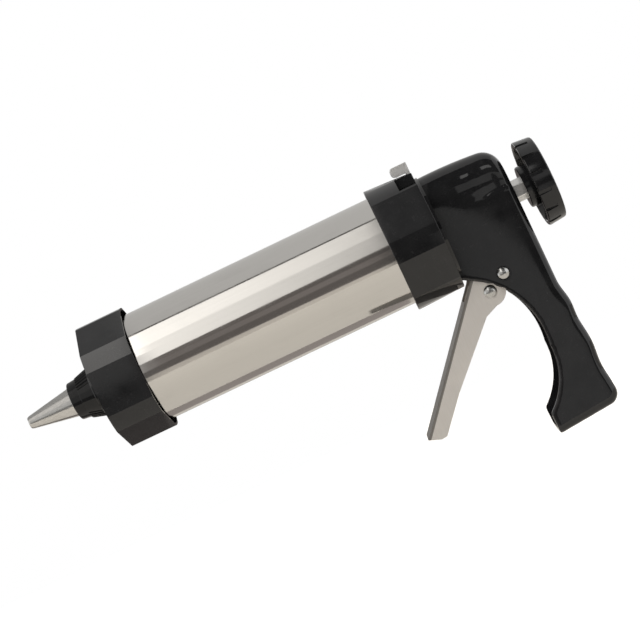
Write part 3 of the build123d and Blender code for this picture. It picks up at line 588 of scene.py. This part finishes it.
BACK_CRESTS = [
    (HOUSING_BACK, -45.93), (131.23, -57.04), (131.02, -66.45), (132.40, -78.70), (131.75, -91.06),
    (132.97, -102.63),
]
HEEL_MID, HEEL_END = (132.16, -108.30), (128.79, -110.68)
TOE_CORNER, TOE_TIP = (100.25, -113.29), (100.01, -102.06)
PALM_LOW, PALM_WAIST, PALM_HIGH = (110.50, -88.45), (113.40, -72.01), (110.93, -49.50)
THROAT = (97.00, -31.41)
HOUSING_FRONT, HOUSING_JOIN = 80.0, 4.0  # the join is where grip and crown meet
CROWN_POWER = 2.25  # of the crown's curve: 2 is a circle, more is squarer
LEAN_IN = 0.004  # per millimetre of height, squared
LOW_ROUND, LOW_ROUND_HEIGHT = 2.5, -23.4
CORNER_X, CORNER_Z, CORNER_ROUND = 119.9, 15.1, 9.5  # rear top corner, seen from the side
REAR_EDGE_START, REAR_EDGE_ROUND = 125.4, 4.0


# The grip and the housing's lower half seen from the side
def handle_outline():
    outline = [(HOUSING_FRONT, HOUSING_JOIN), (HOUSING_BACK, HOUSING_JOIN)]
    outline += smooth_line(BACK_CRESTS, (0, -1), (0.03, -1.0), 8)
    outline += arc_through(BACK_CRESTS[-1], HEEL_MID, HEEL_END, 8)[1:]
    outline += [TOE_CORNER, TOE_TIP]
    outline += arc_through(TOE_TIP, PALM_LOW, PALM_WAIST, 14)[1:]
    outline += arc_through(PALM_WAIST, PALM_HIGH, THROAT, 18)[1:]
    outline += [(COLLAR_BACK, -NECK_RADIUS), (HOUSING_FRONT, -NECK_RADIUS)]
    return outline


# One cross-section of the housing: a full round crown, flat sides that lean in a little above a line,
# and small lower corners
def housing_ring(x, half_width, base, top, lean_from):
    def side_at(z):
        return half_width - LEAN_IN * max(0.0, z - lean_from) ** 2

    points = []
    for k in range(48):
        angle = pi * k / 47
        c, s = cos(angle), sin(angle)
        z = base + (top - base) * abs(s) ** (2 / CROWN_POWER)
        side = side_at(base) * abs(c) ** (2 / CROWN_POWER)
        points.append((x, side if c > 0 else -side, z))
    side_foot = LOW_ROUND_HEIGHT + LOW_ROUND
    heights = [base + (side_foot - base) * k / 12 for k in range(1, 12)]
    points += [(x, -side_at(z), z) for z in heights]
    for side, start in ((-1, pi), (1, 1.5 * pi)):
        for k in range(8):
            angle = start + pi / 2 * k / 7
            across = side * (half_width - LOW_ROUND) + LOW_ROUND * cos(angle)
            points.append((x, across, LOW_ROUND_HEIGHT + LOW_ROUND * sin(angle)))
    points += [(x, side_at(z), z) for z in reversed(heights)]
    return points


# The housing's upper body, from under the collar to its rounded back
def make_housing():
    rings = []
    for k in range(21):
        x = HOUSING_FRONT + 1.9 * k
        share = max(0.0, x - COLLAR_BACK) / 29.2
        top = 25.6 + 1.1 * share - 1.9 * share**2
        rings.append(housing_ring(x, HOUSING_HALF, 10 - 1.5 * share**2, top, 10 - 20 * share**2))
    steps = 11
    for k in range(1, steps + 1):
        angle = radians(84 * k / steps)
        x = CORNER_X + CORNER_ROUND * sin(angle)
        edge = max(0.0, x - REAR_EDGE_START)
        half_width = HOUSING_HALF - REAR_EDGE_ROUND + sqrt(REAR_EDGE_ROUND**2 - edge**2)
        base = 8.5 - 4.0 * (k / steps) ** 2
        rings.append(housing_ring(x, half_width, base, CORNER_Z + CORNER_ROUND * cos(angle), -12.0))
    return ring_skin("housing_body", rings)


# One moulding of neck, housing and grip, smoothed together and then hollowed from the front
def make_handle():
    handle = side_plate("moulded_handle", handle_outline(), -HOUSING_HALF, HOUSING_HALF)

    def outer_rim(corners):
        middle = (corners[0] + corners[1]) / 2
        at_back = middle.x > 119.0 and middle.z < HOUSING_JOIN - 0.1
        at_foot = middle.z < -110.6 and middle.x > TOE_CORNER[0] + 0.05
        return in_side_face(corners, HOUSING_HALF) and (at_back or at_foot)

    round_edges(handle, outer_rim, 3.7, 5)
    carve(handle, make_housing(), "UNION")
    apply_modifier(handle, "REMESH", mode="VOXEL", voxel_size=0.62 * MM)
    apply_modifier(handle, "SMOOTH", factor=0.5, iterations=14)
    carve(handle, block("collar_side", (70, -40, -120), (COLLAR_BACK, 40, 40)))
    carve(handle, bar_along("neck", NECK_FRONT, COLLAR_BACK + 1.5, NECK_RADIUS - 0.01, sides=200), "UNION")

    # Chamber of the release plate, and the channel of trigger and drive plate
    chamber_low = (NECK_FRONT - PAST, -CHAMBER_HALF, CHAMBER_FLOOR)
    carve(handle, block("chamber", chamber_low, (COLLAR_BACK - 0.3, CHAMBER_HALF, CHAMBER_TOP)))
    channel = [
        (SPRING_WALL_BACK, 14.0), (103.0, 13.6), (113.0, 12.8), (CHANNEL_BACK, 2.0),
        (CHANNEL_BACK, BACK_CRESTS[0][1]), (128.43, BACK_CRESTS[1][1]), (129.6, BACK_CRESTS[3][1]),
        (127.39, -107.48), (98.0, -110.09), (98.0, TOE_TIP[1]), (COLLAR_BACK, -22.4),
        (SPRING_WALL_BACK, CHAMBER_FLOOR),
    ]
    carve(handle, side_plate("channel", channel, -CHANNEL_HALF, CHANNEL_HALF))
    carve(handle, bar_along("spring_wall_hole", 87.8, SPRING_WALL_BACK + PAST, 6.06))
    carve(handle, six_sided("rod_hole", CHANNEL_BACK - PAST, HOUSING_BACK + PAST, ROD_FLAT + 0.1, 0))
    carve(handle, block("stem_slot", (80.3, -STEM_SLOT_HALF, 17.0), (89.1, STEM_SLOT_HALF, 28.4)))

    # Pin hole with its head recesses, and the relief that the second rivet swings in
    carve(handle, bar_across("pin_hole", PIVOT_X, PIVOT_Z, PIVOT_SHANK + 0.1, -WIDE, WIDE))
    for low, high in ((-15.0, -PIVOT_HEADS_APART), (PIVOT_HEADS_APART, 15.0)):
        carve(handle, bar_across("head_recess", PIVOT_X, PIVOT_Z, PIVOT_HEAD + 0.6, low, high))
    ahead, below = PIVOT_X - RIVET_X, PIVOT_Z - RIVET_Z
    for step in range(5):
        turn = radians(TRIGGER_SWING * step / 4)
        x = PIVOT_X - ahead * cos(turn) + below * sin(turn)
        z = PIVOT_Z - ahead * sin(turn) - below * cos(turn)
        carve(handle, bar_across("rivet_relief", x, z, RIVET_HEAD + 0.8, -WIDE, WIDE))
    screw_aside, screw_above, screw_radius, screw_depth = 18.2, 7.5, 1.5, 7.5
    for y in (-screw_aside, screw_aside):
        for z in (-screw_above, screw_above):
            hole = bar_along("screw_hole", NECK_FRONT - 1, NECK_FRONT + screw_depth, screw_radius, sides=32)
            hole.location = (0, y * MM, z * MM)
            take(hole)
            bpy.ops.object.transform_apply(location=True)
            carve(handle, hole)

    # Ribs across the back of the grip's channel
    for x, z in (BACK_CRESTS[1], BACK_CRESTS[3], BACK_CRESTS[5]):
        rib = block("grip_rib", (x - 7.8, -CHANNEL_HALF - 0.1, z), (x - 1.4, CHANNEL_HALF + 0.1, z + 1.6))
        carve(handle, rib, "UNION")
    hand_over(handle, "housing", "handle", black_handle, angle=35)


# ---------------------------------------------------------------- trigger, pins, tab


LEAN = radians(39.9)
LEVER_TOP = (PIVOT_X - 17.2, PIVOT_Z + 1.0)
LEVER_LENGTH = 76.0
SHEET = 1.2
# Colour of the painted shade on the trigger's front web, which is the same sheet of steel as its cheeks
WEB_PAINTED_SHADE = (0.30, 0.285, 0.265)


# A point of the lever, down along its front edge and back from it
def lever_point(along, back):
    return (
        LEVER_TOP[0] - sin(LEAN) * along + cos(LEAN) * back,
        LEVER_TOP[1] - cos(LEAN) * along - sin(LEAN) * back,
    )


# The trigger's front web gets a painted shade, darker than its cheeks, up to a plane just behind its sheet
def paint_web_shade(material):
    nodes, links = material.node_tree.nodes, material.node_tree.links
    shader = nodes["Principled BSDF"]
    before = shader.inputs["Base Color"].links[0].from_socket
    place = nodes.new("ShaderNodeTexCoord")
    ahead = nodes.new("ShaderNodeVectorMath")
    ahead.operation = "DOT_PRODUCT"
    ahead.inputs[1].default_value = (-cos(LEAN), 0, sin(LEAN))
    front = (-cos(LEAN) * LEVER_TOP[0] + sin(LEAN) * LEVER_TOP[1]) * MM
    mask = rescaler(nodes, front - (SHEET + 0.2) * MM, front - (SHEET - 0.1) * MM, 0, 1)
    over = nodes.new("ShaderNodeMix")
    over.data_type = "RGBA"
    over.inputs["B"].default_value = (*WEB_PAINTED_SHADE, 1)
    links.new(place.outputs["Object"], ahead.inputs[0])
    links.new(ahead.outputs["Value"], mask.inputs["Value"])
    links.new(mask.outputs["Result"], over.inputs["Factor"])
    links.new(before, over.inputs["A"])
    links.new(over.outputs["Result"], shader.inputs["Base Color"])


# The folded lever: two cheeks joined by a web at the front, and fingers that push the drive plate
def make_trigger():
    finger = radians(24.0)

    def finger_point(along, back):
        return (
            PIVOT_X + sin(finger) * along + cos(finger) * back,
            PIVOT_Z + cos(finger) * along - sin(finger) * back,
        )

    rivet_foot = (RIVET_X, RIVET_Z - 7.5)
    cheek = [
        LEVER_TOP,
        lever_point(LEVER_LENGTH, 0),
        lever_point(73.9, 6.1),
        lever_point(71.8, 8.2),
        lever_point(50.0, 8.5),
        lever_point(11.8, 11.8),
        rivet_foot,
    ]
    cheek += arc_through(rivet_foot, (RIVET_X + 5.0, RIVET_Z - 5.59), (RIVET_X + 7.39, RIVET_Z - 1.3), 6)[1:]
    cheek += arc_through((PIVOT_X + 3.0, PIVOT_Z - 7.4), (PIVOT_X + 8.0, PIVOT_Z), (PIVOT_X + 5.4, PIVOT_Z + 5.9), 12)
    cheek += [finger_point(15.6, 2.1)]
    tip = finger_point(17.0, 0)
    tip_radius = 2.4
    for k in range(9):
        angle = finger + (4 - k) * pi / 8
        cheek.append((tip[0] + tip_radius * sin(angle), tip[1] + tip_radius * cos(angle)))
    cheek += [finger_point(15.0, -1.6), finger_point(9.0, -1.2)]
    cheek += [(PIVOT_X - 1.0, PIVOT_Z + 8.0), (LEVER_TOP[0] + 2.4, LEVER_TOP[1] + 3.6)]
    trigger = side_plate("folded_trigger", cheek, -TRIGGER_HALF, TRIGGER_HALF)

    # The two folds between the web and the cheeks
    def fold(corners):
        ends = [lever_point(0, 0), lever_point(LEVER_LENGTH, 0)]
        away = [min(hypot(c.x - x, c.z - z) for x, z in ends) for c in corners]
        return in_side_face(corners, TRIGGER_HALF) and max(away) < 0.05

    round_edges(trigger, fold, 1.5, 5)
    inside = [
        lever_point(-0.5, -0.5), lever_point(8.0, -0.5), lever_point(8.6, SHEET),
        lever_point(LEVER_LENGTH + PAST, SHEET), lever_point(LEVER_LENGTH + PAST, 76.0),
        lever_point(-76.0, 76.0), lever_point(-76.0, -11.8), lever_point(-0.5, -11.8),
    ]
    carve(trigger, side_plate("between_cheeks", inside, SHEET - TRIGGER_HALF, TRIGGER_HALF - SHEET))
    carve(trigger, bar_across("pin_hole", PIVOT_X, PIVOT_Z, PIVOT_SHANK + 0.1, -WIDE, WIDE))
    carve(trigger, bar_across("rivet_hole", RIVET_X, RIVET_Z, RIVET_SHANK + 0.1, -WIDE, WIDE))
    for low, high in ((-12.0, 0.25 - TRIGGER_HALF), (TRIGGER_HALF - 0.25, 12.0)):
        carve(trigger, bar_across("rivet_seat", RIVET_X, RIVET_Z, RIVET_HEAD + 0.5, low, high))
    # Painted shade: the front web is made darker than the cheeks
    paint_web_shade(trigger_steel)
    hand_over(trigger, "trigger", "trigger", trigger_steel, angle=30)


# A cross pin with a domed head at each end
def domed_pin(name, x, z, shank, head, rise, half_length):
    ahead = [(half_length, shank), (half_length, head)]
    ball = (head**2 + rise**2) / (2 * rise)
    for k in range(1, 7):
        radius = head * (1 - k / 6) + 0.02
        ahead.append((half_length + rise - ball + sqrt(ball**2 - radius**2), radius))
    behind = [(-place, radius) for place, radius in reversed(ahead)]
    pin = turned(name, behind + ahead, steps=64, ends="close")
    pin.rotation_euler = (0, 0, pi / 2)
    pin.location = (x * MM, 0, z * MM)
    take(pin)
    bpy.ops.object.transform_apply(location=True, rotation=True, scale=True)
    return pin


# The trigger's pivot, and the rivet that ties its cheeks
def make_pins():
    pivot = domed_pin("domed_pivot_pin", PIVOT_X, PIVOT_Z, PIVOT_SHANK, PIVOT_HEAD, 1.6, PIVOT_HEADS_APART)
    hand_over(pivot, "housing", "trigger_pin", pin_steel, angle=40)
    rivet = domed_pin("domed_trigger_rivet", RIVET_X, RIVET_Z, RIVET_SHANK, RIVET_HEAD, 1.3, TRIGGER_HALF)
    hand_over(rivet, "trigger", "trigger_rivet", pin_steel, angle=40)


# The release plate on its round foot, and the stem that carries the hollow thumb pad
def make_release_plate():
    middle, half_sheet = (PLATE_FRONT + PLATE_BACK) / 2, (PLATE_BACK - PLATE_FRONT) / 2
    pad_front, pad_low, pad_top, pad_wall = 80.0, 30.5, 35.4, 1.3
    plate = block("release_plate_with_tab", (PLATE_FRONT, -PLATE_HALF, PLATE_FOOT), (PLATE_BACK, PLATE_HALF, 18.6))
    carve(plate, bar_across("tilt_edge", middle, PLATE_FOOT, half_sheet, -PLATE_HALF, PLATE_HALF), "UNION")
    carve(plate, block("stem", (PLATE_FRONT, -STEM_HALF, 0), (PLATE_BACK, STEM_HALF, 34.6)), "UNION")
    pad = block("thumb_pad", (pad_front, -STEM_HALF, pad_low), (PLATE_BACK, STEM_HALF, pad_top))
    round_edges(pad, lambda c: abs(c[0].y - c[1].y) > 5 and max(c[0].x, c[1].x) < pad_front + 0.1, 1.8, 6)
    round_edges(pad, lambda c: abs(c[0].z - c[1].z) > 0.5 and max(c[0].x, c[1].x) < pad_front + 2.5, 1.2, 4)
    hollow_low = (pad_front + pad_wall, pad_wall - STEM_HALF, pad_low - 1.5)
    carve(pad, block("under_pad", hollow_low, (PLATE_FRONT, STEM_HALF - pad_wall, pad_top - pad_wall)))
    carve(plate, pad, "UNION")
    carve(plate, six_sided("rod_hole", PLATE_FRONT - PAST, PLATE_BACK + PAST, ROD_FLAT + 0.4, 0))
    apply_modifier(
        plate, "BEVEL", width=0.25 * MM, segments=3, limit_method="ANGLE", angle_limit=radians(50), harden_normals=False
    )
    hand_over(plate, "release", "release_plate", tab_steel, angle=35)


# ---------------------------------------------------------------- plunger rod and knob


ROD_FRONT, ROD_BACK = -72.4, 142.1


# The six-sided rod, with the piston's spigot in front and the knob screw's bore at its back
def make_plunger_rod():
    spigot_front, spigot_radius, bore_front, bore_radius = -78.2, 3.0, 133.25, 1.9
    rod = six_sided("hex_plunger_rod", ROD_FRONT, ROD_BACK, ROD_FLAT, 0)
    round_edges(rod, lambda c: abs(c[0].x - c[1].x) > 5, 0.35, 3)
    carve(rod, bar_along("spigot", spigot_front, ROD_FRONT + 1.4, spigot_radius, sides=48), "UNION")
    carve(rod, bar_along("screw_bore", bore_front, 144.0, bore_radius, sides=32))
    hand_over(rod, "plunger", "plunger_rod", rod_steel, angle=30)


# The knob: a cup open to the front, its rim grooved, round a hub that takes the rod and its screw
def make_knob():
    front, back, hub = 137.9, 147.1, 134.4
    profile = [
        (front + 0.3, 19.0), (front, 19.3), (front, 20.9), (front + 0.25, 21.35), (front + 0.8, 21.6),
        (back - 1.0, 20.85), (back - 0.35, 20.6), (back, 20.0), (back, 15.7), (back - 0.3, 15.2),
        (back - 1.0, 14.5), (back - 1.0, 2.05), (hub, 2.05), (hub, 10.0), (hub + 0.4, 10.4),
        (back - 3.2, 10.4), (back - 2.8, 10.8), (back - 2.8, 17.4), (back - 3.2, 18.2),
    ]
    knob = turned("grooved_pull_knob", profile, steps=224)
    groove = block("groove", (front - 1.0, -1.0, 20.55), (front + 6.25, 1.0, 23.0))
    round_edges(groove, lambda c: max(c[0].z, c[1].z) < 20.6, 0.3, 3)
    grooves = 14
    for copy in repeat_round(groove, [k * 360 / grooves for k in range(grooves)]):
        carve(knob, copy)
    carve(knob, six_sided("rod_socket", hub - PAST, ROD_BACK + 0.15, ROD_FLAT + 0.1, 0))
    carve(knob, bar_along("screw_head_recess", back - 3.35, back + 1, 3.75, sides=64))
    hand_over(knob, "plunger", "knob", black_knob, angle=32)


make_barrel()
make_front_cap()
make_collar()
make_tip_nut()
make_piping_tip()
make_handle()
make_trigger()
make_pins()
make_release_plate()
make_plunger_rod()
make_knob()

# Pieces whose solids have their final shape already: only their finish is new
SOLID_FINISHES = {
    "barrel_seal": seal_white,
    "nozzle_adapter": adapter_black,
    "piston": piston_black,
    "piston_washer": pin_steel,
    "piston_nut": pin_steel,
    "guide_plate": plate_steel,
    "guide_screws": pin_steel,
    "drive_plate": plate_steel,
    "release_spring": wire_steel,
    "drive_spring": wire_steel,
    "rivet_spacer": pin_steel,
    "knob_screw": pin_steel,
}
for node, material in SOLID_FINISHES.items():
    for slot in NODES[node].material_slots:
        slot.material = material

# ---------------------------------------------------------------- studio


# An even glow whose strength changes along X, for the studio's cards
def glow(name, colour, left, right, left_x, right_x):
    material = bpy.data.materials.new(name)
    material.use_nodes = True
    nodes, links = material.node_tree.nodes, material.node_tree.links
    nodes.clear()
    place = nodes.new("ShaderNodeTexCoord")
    apart = nodes.new("ShaderNodeSeparateXYZ")
    scale = rescaler(nodes, left_x, right_x, left, right)
    light = nodes.new("ShaderNodeEmission")
    out = nodes.new("ShaderNodeOutputMaterial")
    light.inputs["Color"].default_value = (*colour, 1)
    links.new(place.outputs["Object"], apart.inputs["Vector"])
    links.new(apart.outputs["X"], scale.inputs["Value"])
    links.new(scale.outputs["Result"], light.inputs["Strength"])
    links.new(light.outputs["Emission"], out.inputs["Surface"])
    return material


# A curved card round the barrel's line, seen in gloss only. Its two edges are given as angles at its
# left and right end, risen from the camera's side
def studio_card(name, left_x, right_x, low, high, distance, material):
    clear_bench()
    bpy.ops.mesh.primitive_grid_add(x_subdivisions=12, y_subdivisions=24, size=1)
    card = settle(name)
    for vertex in card.data.vertices:
        across, up = vertex.co.x + 0.5, vertex.co.y + 0.5
        low_here = low[0] + (low[1] - low[0]) * across
        high_here = high[0] + (high[1] - high[0]) * across
        angle = radians(low_here + (high_here - low_here) * up)
        vertex.co = (left_x + (right_x - left_x) * across, -distance * cos(angle), distance * sin(angle))
    card.data.materials.append(material)
    card.visible_camera = False
    card.visible_diffuse = False
    card.visible_transmission = False
    card.visible_shadow = False


WARM_WHITE, GREY = (1.0, 0.975, 0.94), (1.0, 0.99, 0.97)
BROWN_GREY, FLOOR_WARM = (1.0, 0.9, 0.85), (1.0, 0.93, 0.84)
LEFT, MIDDLE, POST, RIGHT, FAR_RIGHT = -1.8, -0.25, 0.0705, 0.135, 1.1
WALL, NEAR_WALL, UNDER = 1.2, 1.17, 0.27  # distances from the barrel's line
CARDS = [
    # Name, from x, to x, lower edge, upper edge, colour, strength left and right, between x and x, and the
    # distance where it isn't the wall's.
    # The barrel's dark strip, then its light bands; the cap and tip on the left; collar and housing on the
    # right; and the ceiling
    ("dark_strip_low", MIDDLE, POST, (-16, -19), (-4, -4), BROWN_GREY, (0.15, 0.15), (-1, 1)),
    ("dark_strip_middle", MIDDLE, POST, (-4, -4), (5, 6), BROWN_GREY, (0.21, 0.25), (-0.25, 0.08)),
    ("dark_strip_high", MIDDLE, POST, (5, 6), (12.5, 15), BROWN_GREY, (0.20, 0.15), (-0.25, 0.0)),
    ("front_low", MIDDLE, POST, (-27, -27), (-16, -19), FLOOR_WARM, (0.64, 0.74), (-0.22, 0.08)),
    ("soft_low", MIDDLE, POST, (12.5, 15), (43, 44), WARM_WHITE, (1.36, 0.74), (-0.22, 0.08)),
    ("soft_high", MIDDLE, POST, (43, 44), (75.5, 76.5), WARM_WHITE, (1.6, 0.98), (-0.2, 0.08)),
    ("left_low", LEFT, MIDDLE, (-27, -27), (-6.1, -6.1), GREY, (0.17, 0.17), (-1, 1)),
    ("left_line", LEFT, MIDDLE, (-6.1, -6.1), (-5.3, -5.3), GREY, (0.02, 0.02), (-1, 1)),
    ("left_wall", LEFT, MIDDLE, (-5.3, -5.3), (30, 30), GREY, (0.6, 0.6), (-1, 1)),
    ("left_soft", -0.325, MIDDLE, (30, 30), (75.5, 75.5), WARM_WHITE, (2.6, 2.6), (-1, 1)),
    ("left_dim", LEFT, -0.325, (30, 30), (75.5, 75.5), WARM_WHITE, (0.8, 0.8), (-1, 1)),
    ("post_dark", POST, RIGHT, (-45, -45), (15, 15), GREY, (0.02, 0.02), (-1, 1)),
    ("post_grey", POST, RIGHT, (15, 15), (76.5, 76.5), GREY, (0.24, 0.24), (-1, 1)),
    ("right_grey_a", RIGHT, 0.2, (-27, -27), (-0.5, -4), GREY, (0.47, 0.5), (0.13, 0.2)),
    ("right_grey_b", 0.2, 0.235, (-27, -27), (-4, -9), GREY, (0.5, 0.5), (-1, 1)),
    ("right_grey_c", 0.235, 0.6, (-27, -27), (-9, -12), GREY, (0.5, 0.35), (0.2, 0.6)),
    ("right_dark_a", RIGHT, 0.2, (-0.5, -4), (76.5, 76.5), GREY, (0.03, 0.03), (-1, 1)),
    ("right_dark_b", 0.2, 0.235, (-4, -9), (76.5, 76.5), GREY, (0.03, 0.03), (-1, 1)),
    ("right_dark_c", 0.235, 0.6, (-9, -12), (76.5, 76.5), GREY, (0.03, 0.03), (-1, 1)),
    ("far_right", 0.6, FAR_RIGHT, (-27, -27), (76.5, 76.5), GREY, (0.05, 0.05), (-1, 1)),
    ("soft_edge", LEFT, FAR_RIGHT, (75.5, 76.5), (79.2, 80.2), BROWN_GREY, (0.10, 0.05), (-0.2, 0.0)),
    ("ceiling_left", LEFT, MIDDLE, (79.2, 79.2), (165, 165), GREY, (0.4, 0.4), (-1, 1)),
    ("ceiling", MIDDLE, FAR_RIGHT, (79.2, 80.2), (165, 165), GREY, (0.61, 0.66), (-0.3, 0.3)),
    ("back_dark", LEFT, FAR_RIGHT, (176, 176), (200, 200), BROWN_GREY, (0.16, 0.16), (-1, 1)),
    # Under and behind the object
    ("floor_back_left", -0.6, -0.106, (222, 222), (251, 251), BROWN_GREY, (0.2, 0.2), (-1, 1), UNDER),
    # Two small lights that glint on the housing's rear top corner
    ("corner_patch", 0.25, 1.05, (5, 5), (21, 21), GREY, (0.46, 0.6), (0.25, 0.8), NEAR_WALL),
    ("corner_spot", 0.34, 0.44, (36, 36), (46, 46), GREY, (1.6, 1.6), (-1, 1), NEAR_WALL),
    ("floor_back", -0.106, 0.064, (222, 222), (251, 251), BROWN_GREY, (0.36, 0.36), (-1, 1), UNDER),
]
for name, left_x, right_x, low, high, colour, strengths, between, *distance in CARDS:
    material = glow(name, colour, *strengths, *between)
    studio_card(name, left_x, right_x, low, high, *(distance or [WALL]), material)


FLOOR_MIDDLE, FLOOR_SIZE = (0, 0.45, -0.30), (4.0, 2.2, 1)
FLOOR_SHADE, FLOOR_LIFT = (0.66, 0.625, 0.57), 0.6
ROOM_LIGHT = 0.6


# Pale floor under the object; the camera sees it as white, and its shadow stays
def make_floor():
    clear_bench()
    bpy.ops.mesh.primitive_plane_add(size=1, location=FLOOR_MIDDLE)
    bpy.context.object.scale = FLOOR_SIZE
    floor = settle("studio_floor")
    material = bpy.data.materials.new("pale_floor")
    material.use_nodes = True
    nodes, links = material.node_tree.nodes, material.node_tree.links
    shader, out = nodes["Principled BSDF"], nodes["Material Output"]
    shader.inputs["Base Color"].default_value = (*FLOOR_SHADE, 1)
    shader.inputs["Roughness"].default_value = 0.9
    path = nodes.new("ShaderNodeLightPath")
    lift = nodes.new("ShaderNodeEmission")
    lift.inputs["Color"].default_value = (1, 1, 1, 1)
    scale = rescaler(nodes, 0, 1, 0, FLOOR_LIFT)
    both = nodes.new("ShaderNodeAddShader")
    links.new(path.outputs["Is Camera Ray"], scale.inputs["Value"])
    links.new(scale.outputs["Result"], lift.inputs["Strength"])
    links.new(shader.outputs["BSDF"], both.inputs[0])
    links.new(lift.outputs["Emission"], both.inputs[1])
    links.new(both.outputs["Shader"], out.inputs["Surface"])
    floor.data.materials.append(material)


# Soft even room: white to the camera and in gloss and glass, plain grey light otherwise
def make_room():
    world = bpy.data.worlds.new("studio_room")
    world.use_nodes = True
    bpy.context.scene.world = world
    nodes, links = world.node_tree.nodes, world.node_tree.links
    back = nodes["Background"]
    back.inputs["Color"].default_value = (1, 1, 1, 1)
    path = nodes.new("ShaderNodeLightPath")
    scale = rescaler(nodes, 0, 1, ROOM_LIGHT, 1)
    white_ray = path.outputs["Is Camera Ray"]
    for kind in ("Is Glossy Ray", "Is Transmission Ray"):
        either = nodes.new("ShaderNodeMath")
        either.operation = "MAXIMUM"
        links.new(white_ray, either.inputs[0])
        links.new(path.outputs[kind], either.inputs[1])
        white_ray = either.outputs["Value"]
    links.new(white_ray, scale.inputs["Value"])
    links.new(scale.outputs["Result"], back.inputs["Strength"])


# A large soft lamp, kept out of the gloss because the cards are what shines there
def soft_lamp(name, place, target, size, power, colour):
    clear_bench()
    bpy.ops.object.light_add(type="AREA", location=place)
    lamp = bpy.context.object
    lamp.name = name
    lamp.rotation_euler = (Vector(target) - Vector(place)).to_track_quat("-Z", "Y").to_euler()
    lamp.data.size = size
    lamp.data.energy = power
    lamp.data.color = colour
    lamp.visible_glossy = False


LIT_SPOT = (0.02, 0, -0.02)
make_floor()
make_room()
soft_lamp("key_lamp", (-0.55, -1.1, 1.25), LIT_SPOT, 1.1, 22, (1.0, 0.98, 0.95))
soft_lamp("fill_lamp", (0.9, 0.8, 0.9), LIT_SPOT, 1.2, 8, (0.97, 0.98, 1.0))

# ---------------------------------------------------------------- camera

CAMERA_PLACE = Vector((0.0585, -0.811, 0.0416))
CAMERA_TARGET = Vector((0.0196, 0, -0.0153))
CAMERA_ROLL, CAMERA_LENS = -25.65, 95.3
bpy.ops.object.camera_add(location=CAMERA_PLACE)
camera = bpy.context.object
camera.name = "photo_camera"
look = (CAMERA_TARGET - CAMERA_PLACE).to_track_quat("-Z", "Y")
camera.rotation_euler = (look @ Quaternion((0, 0, 1), radians(CAMERA_ROLL))).to_euler()
camera.data.sensor_width = 36
camera.data.lens = CAMERA_LENS
bpy.context.scene.camera = camera
bpy.context.scene.view_settings.view_transform = "Standard"
